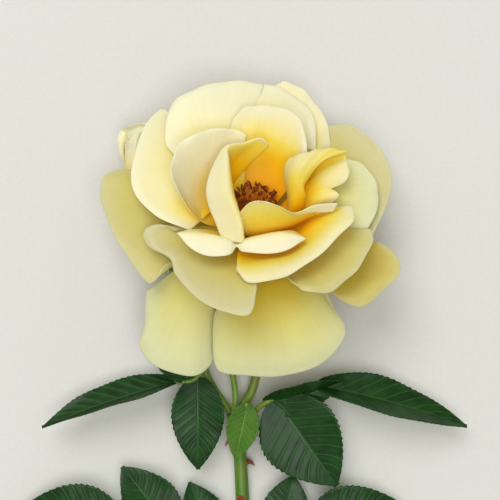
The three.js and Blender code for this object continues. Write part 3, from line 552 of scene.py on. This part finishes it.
def keep(piece, slot, *nodes):
    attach(piece, "root")
    if nodes:
        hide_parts(*nodes)


margin_share = 0.09                          # of the blade's half width, where the tissue thins out
margin_thick = 0.2                           # of its full thickness, at the very edge


def new_grid(name, across, along):
    """A flat grid from -1 to 1 both ways, and its vertices' x and y."""
    bpy.ops.object.select_all(action="DESELECT")
    bpy.ops.mesh.primitive_grid_add(x_subdivisions=across, y_subdivisions=along, size=2.0)
    piece = bpy.context.object
    piece.name = name
    piece.data.uv_layers[0].name = "UVMap"
    flat = np.empty(len(piece.data.vertices) * 3)
    piece.data.vertices.foreach_get("co", flat)
    x, y, _ = flat.reshape(-1, 3).T
    return piece, x, y


def petal_piece(name, shape, tissue, node, count=80):
    """One petal as a closed thin sheet: a grid, shaped by a net or by a rule, then given its thickness."""
    piece, x, y = new_grid(name, count, count)
    mesh = piece.data
    if isinstance(shape, list):
        # For a net, the paleness holds painted shade and light as well as the petal's own colour.
        points, pale = woven(shape, x, y)
        from_margin = np.minimum(1 - np.abs(x), 1 - y)
    else:
        # The grid's square outline becomes a round one. Paleness grows from 0 at the claw to 1 at
        # the tip, and the side margins and the rolled rim are pale as well.
        x, y = x * np.sqrt(1 - y * y / 2), y * np.sqrt(1 - x * x / 2)
        points, rolled = petal_sheet(shape, x, y)
        t = (y + 1) / 2
        rim = np.clip((np.hypot(x, y) - 0.7) / 0.3, 0, 1) ** 2
        pale = t + 0.25 * rim * np.sqrt(np.clip(t, 0, 1)) + 0.35 * rolled * np.clip(t * 3, 0, 1) + shape["pale"]
        from_margin = 1 - np.hypot(x, y)
    mesh.vertices.foreach_set("co", (points / 1000).ravel())
    corner = np.empty(len(mesh.loops), dtype=int)
    mesh.loops.foreach_get("vertex_index", corner)
    uv = np.stack([(x[corner] + 1) / 2, (y[corner] + 1) / 2], -1)
    mesh.uv_layers[0].data.foreach_set("uv", uv.ravel())
    mesh.attributes.new("paleness", "FLOAT", "POINT").data.foreach_set("value", pale)
    mesh.materials.append(tissue)
    mesh.update()
    bpy.ops.object.shade_smooth()

    body = piece.vertex_groups.new(name="body")
    fullness = np.round(np.clip(from_margin / margin_share, 0, 1), 1)
    for level in np.unique(fullness):
        body.add(np.flatnonzero(fullness == level).tolist(), float(level), "REPLACE")
    wall = piece.modifiers.new("thickness", "SOLIDIFY")
    wall.thickness = petal_thick / 1000
    wall.offset = 0
    wall.vertex_group = "body"
    wall.thickness_vertex_group = margin_thick
    broad_faces = 2 * len(mesh.polygons)
    bpy.ops.object.modifier_apply(modifier="thickness")
    # The narrow faces of the rim come last; shaded flat, they leave the light on both sides even.
    smooth = np.arange(len(piece.data.polygons)) < broad_faces
    piece.data.polygons.foreach_set("use_smooth", smooth)
    keep(piece, "petal", node)


# The one petal here that follows the rule stands behind all the others, with its tip in sight.
far_back = {"frame": bloom_frame, "at": 58, "start": 4.0, "height": -2.5, "long": 36, "wide": 30, "claw": 0.45,
            "lift": [76.5, 85.2, 91, 94], "cup": 40, "slant": 0, "roll": (70, 25), "roll_from": 0.74,
            "ruffle": 0.5, "pale": 0, "seed": 1}
petal_piece("petal_far_back", far_back, outer_tissue_with_shade, "bloom", count=64)
# The side and outer tissues carry painted shade on the petals given them here.
tissues = {
    "petal_left": side_tissue_with_shade, "petal_front_left": side_tissue_with_shade, "petal_front_right": side_tissue_with_shade,
    "petal_low_right": side_tissue_with_shade, "petal_right": side_tissue_with_shade, "petal_hanging": outer_tissue_with_shade,
    "petal_hanging_left": outer_tissue_with_shade, "petal_side_right": outer_tissue_with_shade, "petal_shoulder_left": middle_tissue,
    "petal_back_left": middle_tissue, "petal_back": middle_tissue, "petal_back_right": middle_tissue,
    "petal_cup_left": middle_tissue, "petal_lip_front": middle_tissue}
for petal_name, petal_net in petal_nets.items():
    petal_piece(petal_name, petal_net, tissues.get(petal_name, inner_tissue), "bloom")

# ---------------------------------------------------------------------------
# The heart of the bloom: a ring of stamens round a low tuft of styles. Each stamen is a thin
# orange filament that carries a two-lobed anther, ripe and red-brown, on its tip.
def copies(name, source, places, material):
    """One mesh with a copy of the source at each place: (3x3 turn and scale, position in mm)."""
    points = np.array([v.co[:] for v in source.data.vertices])
    faces = [tuple(p.vertices) for p in source.data.polygons]
    all_points, all_faces = [], []
    for number, (turn, where) in enumerate(places):
        all_points.append(points @ np.array(turn).T + np.array(where))
        first = number * len(points)
        all_faces += [tuple(first + corner for corner in face) for face in faces]
    mesh = bpy.data.meshes.new(name)
    mesh.from_pydata((np.concatenate(all_points) / 1000).tolist(), [], all_faces)
    mesh.polygons.foreach_set("use_smooth", [True] * len(mesh.polygons))
    mesh.materials.append(material)
    mesh.update()
    piece = bpy.data.objects.new(name, mesh)
    bpy.context.collection.objects.link(piece)
    bpy.data.objects.remove(source)
    return piece


def frame_along(direction):
    """A 3x3 turn that carries +Z onto the direction."""
    z = np.array(direction) / np.linalg.norm(direction)
    x = np.cross(z, right if abs(z[0]) < 0.9 else back)
    x = x / np.linalg.norm(x)
    return np.stack([x, np.cross(z, x), z], -1)


def curve_piece(name, points, radii, material, sides=5):
    """A round rod along a smooth curve through points in mm, with a radius at each point."""
    data = bpy.data.curves.new(name, "CURVE")
    data.dimensions = "3D"
    data.bevel_depth = 0.001
    data.bevel_resolution = sides
    data.resolution_u = 10
    data.use_fill_caps = True
    spline = data.splines.new("BEZIER")
    spline.bezier_points.add(len(points) - 1)
    for knot, point, radius in zip(spline.bezier_points, points, radii):
        knot.co = np.array(point) / 1000
        knot.handle_left_type = knot.handle_right_type = "AUTO"
        knot.radius = radius
    piece = bpy.data.objects.new(name, data)
    bpy.context.collection.objects.link(piece)
    bpy.ops.object.select_all(action="DESELECT")
    piece.select_set(True)
    bpy.context.view_layer.objects.active = piece
    bpy.ops.object.convert(target="MESH")
    bpy.ops.object.shade_smooth()
    piece = bpy.context.object
    piece.data.materials.clear()
    piece.data.materials.append(material)
    return piece


# Filaments: moist and a little see-through, so that the tuft glows orange.
filament_skin = mottled_material("stamen_filament", "#c96400", "#f09412", 420.0, 0.45, 0.00003, see_through=0.2)
# Ripe anthers: rough and matt, dark red-brown with rusty pollen on them.
anther_skin, shader = new_material("ripe_anther")
grain = add_node(anther_skin, "TexCoord")
pollen = add_node(anther_skin, "TexNoise", values={"Scale": 1800.0, "Detail": 2.0},
                  links={0: grain.outputs["Object"]})
pollen_ramp = add_node(anther_skin, "ValToRGB", links={0: pollen.outputs["Fac"]})
set_stops(pollen_ramp, (0.35, "#4a1204"), (0.75, "#a8500c"))
wire(shader, {"Roughness": 0.75}, {"Base Color": pollen_ramp})

heart_random = np.random.RandomState(5)
golden_angle = 2.39996                       # between one stamen or style and the next, in radians
stamen_count = 84
filament_places, anther_places = [], []
for number in range(stamen_count):
    ring = math.sqrt((number + 0.5) / stamen_count)
    around = number * golden_angle + heart_random.uniform(-0.2, 0.2)
    outward = math.cos(around) * right + math.sin(around) * back
    foot = receptacle + outward * (1.6 + 2.6 * ring) + axis * 2.0
    head = receptacle + outward * (1.6 + 5.4 * ring + heart_random.uniform(-0.6, 0.6))
    head = head + axis * (11.5 - 2.5 * ring ** 2 + heart_random.uniform(-1.6, 1.6))
    span = head - foot
    length = np.linalg.norm(span)
    lean = frame_along(span)
    filament_places.append((lean @ np.diag([1, 1, length]), (foot + head) / 2))
    tilt = frame_along(span / length + heart_random.normal(0, 0.8, 3))
    size = heart_random.uniform(0.85, 1.15)
    anther_places.append((tilt @ np.diag([size, size, size]), head))

bpy.ops.object.select_all(action="DESELECT")
bpy.ops.mesh.primitive_cone_add(vertices=5, radius1=0.2, radius2=0.12, depth=1.0)
keep(copies("stamen_filaments", bpy.context.object, filament_places, filament_skin), "petal", "bloom")

bpy.ops.mesh.primitive_uv_sphere_add(segments=8, ring_count=6, radius=1.0)
anther = bpy.context.object
for vertex in anther.data.vertices:
    waist = 1 - 0.35 * math.exp(-(vertex.co.x / 0.35) ** 2)      # the groove between its two lobes
    vertex.co.x *= 0.62
    vertex.co.y *= 0.42 * waist
    vertex.co.z *= 0.9
keep(copies("stamen_anthers", anther, anther_places, anther_skin), "petal", "bloom")

style_count = 22
style_places = []
for number in range(style_count):
    around = number * golden_angle
    reach = 1.7 * math.sqrt((number + 0.5) / style_count)
    outward = math.cos(around) * right + math.sin(around) * back
    foot = receptacle + outward * reach * 0.6 + axis * 2.0
    head = receptacle + outward * reach + axis * (8.6 + heart_random.uniform(-0.5, 0.5))
    length = np.linalg.norm(head - foot)
    style_places.append((frame_along(head - foot) @ np.diag([1.5, 1.5, length]), (foot + head) / 2))
# Styles: damp and soft, a darker rust than the filaments round them.
style_skin = mottled_material("style_tissue", "#9c3d12", "#cf6f22", 700.0, 0.5, 0.00004)
bpy.ops.mesh.primitive_cone_add(vertices=6, radius1=0.12, radius2=0.26, depth=1.0)
keep(copies("style_tuft", bpy.context.object, style_places, style_skin), "petal", "bloom")

# The disc: fleshy and honey-coloured, hardly seen under the stamens.
disc_skin = mottled_material("receptacle_disc", "#bb7408", "#dd9a1c", 500.0, 0.6, 0.0001)
disc_place = (frame_along(axis) @ np.diag([4.6, 4.6, 3.0]), receptacle - axis * 0.4)
bpy.ops.mesh.primitive_uv_sphere_add(segments=32, ring_count=16, radius=1.0)
keep(copies("receptacle_disc", bpy.context.object, [disc_place], disc_skin), "petal", "bloom")

# ---------------------------------------------------------------------------
# The main stem and the stalks: young rose wood, smooth and green, flushed red-brown on the sunny
# side, thickest at the square cut and swollen at the fork. Hooked prickles sit on its bark.
def green_bark(name, light, dark, flush):
    """Young green bark: a waxy skin with fine lengthwise streaks about 1 mm apart and a faint flush."""
    material, shader = new_material(name)
    place = add_node(material, "TexCoord")
    stretch = add_node(material, "Mapping", values={"Scale": (900.0, 90.0, 900.0)},
                       links={0: place.outputs["Object"]})
    streak = add_node(material, "TexNoise", values={"Scale": 1.0, "Detail": 3.0}, links={0: stretch})
    ramp = add_node(material, "ValToRGB", links={0: streak.outputs["Fac"]})
    set_stops(ramp, (0.3, dark), (0.72, light))
    cloud = add_node(material, "TexNoise", values={"Scale": 60.0, "Detail": 2.0},
                     links={0: place.outputs["Object"]})
    amount = add_node(material, "MapRange", values={1: 0.5, 2: 0.72, 3: 0.0, 4: 0.55},
                      links={0: cloud.outputs["Fac"]})
    flushed = add_node(material, "MixRGB", values={2: hex_colour(flush)}, links={0: amount, 1: ramp})
    bump = add_node(material, "Bump", values={"Strength": 0.3, "Distance": 0.0002},
                    links={"Height": streak.outputs["Fac"]})
    wire(shader, {"Roughness": 0.42, "Subsurface Weight": 0.1, "Subsurface Scale": 0.001},
         {"Base Color": flushed, "Normal": bump})
    return material


stem_bark = green_bark("green_rose_bark", "#5f8f22", "#3c6a12", "#7a5a22")
stalk_bark = green_bark("young_stalk_bark", "#86a838", "#557f1c", "#8a6a2c")
stem_path = [(-1.3, -106.5, -21.4), (-1.9, -92, -21.2), (-2.4, -78, -20.6), (-3.2, -64, -19.9),
             (-4.4, -51.5, -19.6)]
stem_points = [np.array(point) + set_down for point in stem_path]
stem_radii = [2.6, 2.4, 2.15, 2.0, 2.95]
keep(curve_piece("main_stem_bark", stem_points, stem_radii, stem_bark, sides=8), "stem", "main_stem")

# Pith: pale, dry and matt, on the cut end of the stem.
pith = mottled_material("stem_pith", "#b9c684", "#dde3b6", 1500.0, 0.8, 0.0001)
bpy.ops.mesh.primitive_cylinder_add(vertices=32, radius=1.0, depth=1.0)
pith_place = (frame_along((0, 1, 0)) @ np.diag([1.9, 1.9, 0.3]), stem_points[0] + np.array([0, -0.02, 0]))
stem_pith = copies("stem_pith", bpy.context.object, [pith_place], pith)
stem_pith.data.polygons.foreach_set("use_smooth", [False] * len(stem_pith.data.polygons))
keep(stem_pith, "stem", "main_stem")

# Prickles: smooth red-brown horn, with a dull shine.
prickle_skin = mottled_material("prickle_horn", "#74301a", "#a85632", 400.0, 0.35, 0.00005)
prickle_seats = [(0.14, 60), (0.36, 200), (0.5, 110), (0.7, 340), (0.84, 160)]   # along it, degrees round it
for number, (along, around) in enumerate(prickle_seats):
    place = along * (len(stem_points) - 1)
    before = min(int(place), len(stem_points) - 2)
    root = stem_points[before] * (1 - place + before) + stem_points[before + 1] * (place - before)
    forward = stem_points[before + 1] - stem_points[before]
    forward = forward / np.linalg.norm(forward)
    side = np.cross(forward, (0, 0, 1))
    around = math.radians(around)
    outward = math.cos(around) * side + math.sin(around) * np.array([0, 0, 1])
    radius = 2.6 - 0.6 * along
    hook = [root + outward * radius * 0.6, root + outward * (radius + 1.2) - forward * 0.3,
            root + outward * (radius + 2.6) - forward * 1.6]
    prickle = curve_piece("prickle_%d" % (number + 1), hook, [1.5, 0.7, 0.06], prickle_skin, sides=4)
    keep(prickle, "stem", "main_stem")

gap = 0.3                                    # mm, between one piece of the plant and the next
hip_half_length = 5.4
receptacle_depth = 3.6
hip_top = receptacle - axis * (receptacle_depth + gap)
hip_foot = hip_top - axis * (2 * hip_half_length + gap)
fork = stem_points[-1]
bud_base = np.array([-28.5, 16, -16.2]) + set_down
bud_axis = np.array([-0.2, 0.97, 0.1]) / np.linalg.norm([-0.2, 0.97, 0.1])
bud_hip_half_length = 3.0
bud_foot = bud_base - bud_axis * (gap + 2 * bud_hip_half_length + gap)
small_base = np.array([-8, -29, -19.2]) + set_down
small_axis = np.array([-0.25, 0.96, 0.1]) / np.linalg.norm([-0.25, 0.96, 0.1])

# Each stalk: where it leaves the fork, the points on its way, its far end, and its radii.
stalks = {
    "bloom_stalk": [(1.5, 1.2, -0.3), [(1.3, -42, -19.8), (2, -22, -20.4), (1.7, -9, -18.2)], hip_foot,
                    [1.5, 1.4, 1.35, 1.4, 1.5]],
    "bud_stalk": [(-2, 0.6, -0.5), [(-13.5, -39.5, -19.6), (-18, -22, -20.4), (-24, -7, -18.6)], bud_foot,
                  [1.25, 1.2, 1.12, 1.2, 1.25]],
    "small_bud_stalk": [(-0.4, 0.7, 2.1), [(-4.6, -45, -17.6), (-6.2, -36, -19)], small_base - small_axis * gap,
                        [1.0, 0.92, 0.9, 1.0]]}
for stalk_name, (leave, way, far_end, radii) in stalks.items():
    stalk_points = [fork + leave, *(set_down + point for point in way), far_end]
    keep(curve_piece(stalk_name + "_bark", stalk_points, radii, stalk_bark), "stem", stalk_name)

# ---------------------------------------------------------------------------
# The calyxes: a green urn-shaped hip under the petals, and five sepals bent back along the stalk,
# each a narrow leafy strip of dull green tissue that runs out to a long point.
def sheet_piece(name, points_of, materials, across, along, thick):
    """A thin closed sheet from a grid. points_of(a, t) gives points in mm, a from -1 to 1, t from 0 to 1.
    The first material is the upper side's, and a second one is the under side's."""
    piece, x, y = new_grid(name, across, along)
    mesh = piece.data
    mesh.vertices.foreach_set("co", (points_of(x, (y + 1) / 2) / 1000).ravel())
    for material in materials:
        mesh.materials.append(material)
    mesh.update()
    bpy.ops.object.shade_smooth()
    wall = piece.modifiers.new("thickness", "SOLIDIFY")
    wall.thickness = thick / 1000
    wall.offset = 0
    if len(materials) > 1:
        wall.material_offset = 1
        wall.material_offset_rim = 0
    bpy.ops.object.modifier_apply(modifier="thickness")
    return piece


def lathe_piece(name, profile, base, direction, material, wobble, seed=1):
    """A nearly round body: profile holds (radius, height) in mm along the direction from its base."""
    bpy.ops.object.select_all(action="DESELECT")
    knots = np.linspace(0, 1, len(profile))
    fine = np.linspace(0, 1, 40)
    radii = np.interp(fine, knots, [r for r, h in profile])
    rises = np.interp(fine, knots, [h for r, h in profile])
    smoothing = np.array([1, 2, 3, 2, 1]) / 9
    radii[2:-2] = np.convolve(radii, smoothing, "valid")
    bpy.ops.mesh.primitive_uv_sphere_add(segments=48, ring_count=39, radius=1.0)
    source = bpy.context.object
    random = np.random.RandomState(seed)
    phase = random.uniform(0, 6.28, 3)
    for vertex in source.data.vertices:
        level = math.acos(max(-1, min(1, -vertex.co.z))) / math.pi
        angle = math.atan2(vertex.co.y, vertex.co.x)
        uneven = 1 + wobble * (math.sin(5 * angle + phase[0]) + 0.5 * math.sin(9 * angle + phase[1]))
        radius = float(np.interp(level, fine, radii)) * uneven
        vertex.co = (radius * math.cos(angle), radius * math.sin(angle), float(np.interp(level, fine, rises)))
    return copies(name, source, [(frame_along(direction), base)], material)


# Both are soft young skin: the hip is smooth and faintly flushed, the sepals are duller.
hip_skin = green_bark("hip_skin", "#7fa03a", "#4f7c20", "#8a5a2a")
sepal_skin = green_bark("sepal_tissue", "#7c9c3c", "#55802a", "#8a6032")


def calyx_pieces(prefix, node, top, direction, radius, half_length, turn, long, wide, open_angle):
    """The hip and its five sepals, round the direction, under the top point. turn and open_angle are
    in degrees: the first sepal's place round the hip, and how far each starts to bend back."""
    body = [(0.02, 0), (0.62, 0.06), (0.9, 0.25), (1.0, 0.5), (0.94, 0.72), (0.72, 0.9), (0.5, 0.97), (0.02, 1.0)]
    profile = [(r * radius, h * 2 * half_length) for r, h in body]
    hip = lathe_piece(prefix + "_hip", profile, top - direction * 2 * half_length, direction, hip_skin, 0.02)
    keep(hip, "calyx", node)
    across = np.cross(direction, (1, 0, 0))
    across = across / np.linalg.norm(across)
    level = np.cross(across, direction)
    for number in range(5):
        angle = math.radians(turn + 72 * number)
        outward = level * math.cos(angle) + across * math.sin(angle)
        side = np.cross(direction, outward)

        def strip(a, t):
            opened = np.radians(open_angle + 30 * t)
            half = 0.5 * wide * (1 - t ** 1.6) + 0.25 + 0.35 * np.sin(40 * t) ** 4 * (t > 0.25) * (t < 0.75)
            run = direction * np.cos(opened)[:, None] + outward * np.sin(opened)[:, None]
            up = direction * np.sin(opened)[:, None] - outward * np.cos(opened)[:, None]
            points = top - direction * 1.2 + outward * 2.4 + run * (long * t)[:, None]
            return points + side * (a * half)[:, None] + up * (0.25 * (a * a - 0.5) * half)[:, None]

        sepal = sheet_piece("%s_sepal_%d" % (prefix, number + 1), strip, [sepal_skin], 10, 40, 0.5)
        keep(sepal, "calyx", node)


calyx_pieces("bloom", "calyx", hip_top, axis, 4.3, hip_half_length, 20, 17, 5, 125)
calyx_pieces("bud", "bud_calyx", bud_base - bud_axis * gap, bud_axis, 3.4, bud_hip_half_length, 54, 7.6, 4, 98)

# ---------------------------------------------------------------------------
# The buds. The half-open one is six petals wrapped round a furled heart, with their rims rolled out.
# The small one is still shut, all green in its sepals, and is one smooth drop with a waist.
bud_right = np.cross(bud_axis, (0, 0, 1)) / np.linalg.norm(np.cross(bud_axis, (0, 0, 1)))
bud_side = np.cross(bud_axis, bud_right)
bud_frame = (bud_base, bud_axis, bud_right, bud_side)
both_turns = {"frame": bud_frame, "height": -0.8, "claw": 0.35, "slant": 0.04, "roll_from": 0.86, "ruffle": 0.15,
              "pale": 0.2}
outer_turn = {**both_turns, "start": 2.4, "long": 30, "wide": 26, "lift": [80, 38, 7, -9, -22, -24, -6],
              "cup": 185, "roll": (55, 90)}
inner_turn = {**both_turns, "start": 1.6, "long": 27, "wide": 22, "lift": [80, 42, 8, -12, -20, -20],
              "cup": 200, "roll": (55, 20)}
for number, (turn, at) in enumerate([(outer_turn, 100), (outer_turn, 220), (outer_turn, 340),
                                     (inner_turn, 515), (inner_turn, 635), (inner_turn, 755)]):
    bud_shape = {**turn, "at": at, "seed": 40 + number}
    petal_piece("bud_petal_%d" % (number + 1), bud_shape, middle_tissue, "bud", count=48)


def bud_spiral(a, t):
    """The innermost petals, furled two turns round the bud's axis and closed to a cone."""
    turn = (a + 1) / 2
    angle = 4.4 * np.pi * turn
    radius = (6.2 - 5.2 * turn) * np.interp(t, [0, 0.15, 0.4, 0.75, 1], [0.3, 0.75, 1, 0.85, 0.42])
    around = bud_right * np.cos(angle)[:, None] + bud_side * np.sin(angle)[:, None]
    return bud_base + around * radius[:, None] + bud_axis * (0.5 + (20.5 + 2.5 * turn) * t)[:, None]


bud_heart = sheet_piece("bud_heart", bud_spiral, [middle_tissue], 120, 30, petal_thick)
heart_places = np.array([vertex.co[:] for vertex in bud_heart.data.vertices]) * 1000 - bud_base
heart_long = 23                              # mm
heart_paleness = np.clip(heart_places @ bud_axis / heart_long, 0.45, 0.9)
bud_heart.data.attributes.new("paleness", "FLOAT", "POINT").data.foreach_set("value", heart_paleness)
keep(bud_heart, "petal", "bud")

small_profile = [(0.0, 0), (2.5, 0.5), (2.9, 2.4), (2.4, 4.4), (4.0, 7.1), (3.85, 9.9), (2.4, 13.6), (0.0, 17.0)]
small_body = lathe_piece("small_bud_green", small_profile, small_base, small_axis, sepal_skin, 0.03, seed=4)
keep(small_body, "calyx", "small_bud")

# ---------------------------------------------------------------------------
# The leaves. A rose leaf is a thin stalk with a few toothed leaflets: leathery, dark green and
# glossy above with sunk veins, paler and matt below. Each leaflet folds a little along its midrib.
vein_turns = 62.8                            # ten whole turns of a sine, in radians


def leaf_skin(name, blade, deep, vein, roughness):
    """Leaf tissue under its wax skin, with a midrib and side veins drawn along the blade's own map.
    The side veins slant forward from the midrib, ten to a leaflet."""
    material, shader = new_material(name)
    uv = add_node(material, "UVMap", uv_map="UVMap")
    place = add_node(material, "SeparateXYZ", links={0: uv.outputs["UV"]})
    from_rib = add_node(material, "Math", operation="SUBTRACT", values={1: 0.5}, links={0: place.outputs["X"]})
    across = add_node(material, "Math", operation="ABSOLUTE", links={0: from_rib})
    drawn = add_node(material, "Math", operation="MULTIPLY_ADD", values={1: -0.42},
                     links={0: across, 2: place.outputs["Y"]})
    turns = add_node(material, "Math", operation="MULTIPLY", values={1: vein_turns}, links={0: drawn})
    wave = add_node(material, "Math", operation="SINE", links={0: turns})
    side_vein = add_node(material, "MapRange", values={1: 0.86, 2: 1.0}, links={0: wave})
    midrib = add_node(material, "MapRange", values={1: 0.03, 2: 0.012}, links={0: across})
    both = add_node(material, "Math", operation="MAXIMUM", links={0: side_vein, 1: midrib})
    grain = add_node(material, "TexCoord")
    mottle = add_node(material, "TexNoise", values={"Scale": 220.0, "Detail": 4.0},
                      links={0: grain.outputs["Object"]})
    ramp = add_node(material, "ValToRGB", links={0: mottle.outputs["Fac"]})
    set_stops(ramp, (0.3, deep), (0.75, blade))
    strength = add_node(material, "Math", operation="MULTIPLY", values={1: 0.38}, links={0: both})
    colour = add_node(material, "MixRGB", values={2: hex_colour(vein)}, links={0: strength, 1: ramp})
    relief = add_node(material, "Math", operation="MULTIPLY_ADD", values={1: -0.7},
                      links={0: both, 2: mottle.outputs["Fac"]})
    bump = add_node(material, "Bump", values={"Strength": 0.35, "Distance": 0.0003}, links={"Height": relief})
    wire(shader, {"Roughness": roughness, "Specular IOR Level": 0.25, "Subsurface Weight": 0.1,
                  "Subsurface Scale": 0.001}, {"Base Color": colour, "Normal": bump})
    return material


# The upper side has the wax's gloss, the under side is matt, and the young bract is yellow-green.
leaf_top = leaf_skin("leaf_wax_upper", "#1b4715", "#0b2d06", "#34682a", 0.34)
leaf_under = leaf_skin("leaf_under_side", "#6f9a62", "#557f4c", "#8fb078", 0.6)
young_leaf = leaf_skin("young_leaf", "#55802a", "#3e6a1c", "#86a84e", 0.42)
leaf_thick = 0.4
teeth_per_mm = 0.55


def leaflet_piece(name, at, heading, pitch, roll, long, wide, fold, arch, seed, skins):
    """One toothed leaflet. heading turns it in plan, pitch lifts its tip, roll tips it sideways."""
    turn = np.array(Euler((math.radians(roll), math.radians(-pitch), math.radians(heading))).to_matrix())
    random = np.random.RandomState(seed)
    phase = random.uniform(0, 6.28, 3)
    teeth = teeth_per_mm * long

    def blade(a, t):
        reach = np.clip(0.06 + 0.94 * t ** 0.85, 0, 0.985)
        half = 0.5 * wide * np.sin(np.pi * reach) ** 0.8
        tooth = 1 - (teeth * t + 0.1 * np.sin(phase[0] + 7 * t)) % 1.0
        half = half * (1 - 0.05 * tooth * (np.abs(a) > 0.97))
        q = a * half
        rise = np.abs(q) * math.sin(math.radians(fold)) - long * math.radians(arch) * t * t / 2
        out = np.abs(a)
        pleats = 0.36 * np.cos(vein_turns * (t - 0.21 * out)) * out * (1 - out)
        waves = 0.5 * np.sin(6 * t + phase[1]) * out ** 3 + 0.35 * np.sin(13 * t + phase[2] + a) * out ** 4
        rise += (pleats + waves) * np.sin(np.pi * t)
        points = np.stack([long * t, -q * math.cos(math.radians(fold)), rise], -1)
        return points @ turn.T + np.array(at) + set_down

    keep(sheet_piece(name, blade, skins, 24, 150, leaf_thick), "leaf")


# Each leaf: the points of its stalk, and its leaflets' foot, heading, pitch, roll, length, width,
# fold and arch, in mm and degrees.
leaves = {
    "leaf_left": ([(-14.8, -37.6, -17.2), (-16.4, -39.4, -15), (-19, -40.8, -14.2), (-23.5, -41, -14)],
                  [((-23, -41, -14), 194.5, 4, 58, 43.5, 14, 25, 10),
                   ((-16.2, -39.6, -14.6), 270, 6, 0, 28.5, 17, 12, 22),
                   ((-19, -40.6, -14.2), 118, -4, 0, 24, 14, 18, 20)]),
    "leaf_right": ([(-0.8, -53.4, -17.9), (4, -48, -15), (13, -44, -13.6), (21.5, -42, -13)],
                   [((21, -42.1, -13), 350, 2, -45, 48, 15.5, 20, 16),
                    ((4.4, -47.2, -15), 8, 16, 30, 25, 12, 22, 30),
                    ((8, -46.1, -14.5), 304, 6, 6, 33, 26, 10, 18)]),
    "bract": ([(-3.8, -53.4, -15.8), (-3, -51, -14), (-1.8, -48.6, -13), (-0.8, -47.4, -12.8)],
              [((-0.8, -47.6, -12.8), 258, 8, 0, 17.5, 11, 24, 30)]),
    "leaf_low_left": ([(-4.8, -95, -19), (-12, -91, -17.4), (-24, -87.4, -16), (-41, -85, -15)],
                      [((-40, -85.1, -15), 172, 2, 10, 32, 22, 14, 22),
                       ((-24, -87.4, -16), 128, 4, 10, 25, 18, 14, 20),
                       ((-24, -87.6, -16), 222, 4, -10, 25, 18, 14, 20),
                       ((-11, -91.4, -17.6), 112, 6, 8, 20, 15, 14, 20),
                       ((-11, -91.6, -17.6), 238, 6, -8, 20, 15, 14, 20)]),
    "leaf_low_right": ([(0.9, -90.2, -19.6), (6, -88.4, -17.6), (12, -87, -16.8), (19, -86, -16.4)],
                       [((18.5, -86, -16.4), 12, 4, -8, 30, 21, 14, 22),
                        ((9.5, -87.4, -17), 76, 2, 0, 17, 15, 12, 20),
                        ((9.5, -87.6, -17), 318, 4, 0, 22, 16, 12, 20)])}
for leaf_name, (stalk_way, leaflets) in leaves.items():
    rachis_points = [set_down + point for point in stalk_way]
    rachis = curve_piece(leaf_name + "_rachis", rachis_points, [1.0, 0.85, 0.75, 0.6], stalk_bark, sides=4)
    keep(rachis, "leaf", leaf_name)
    skins = [young_leaf if leaf_name == "bract" else leaf_top, leaf_under]
    for number, values in enumerate(leaflets):
        leaflet_name = "%s_leaflet_%d" % (leaf_name, number + 1)
        leaflet_piece(leaflet_name, *values, seed=number + len(leaf_name), skins=skins)
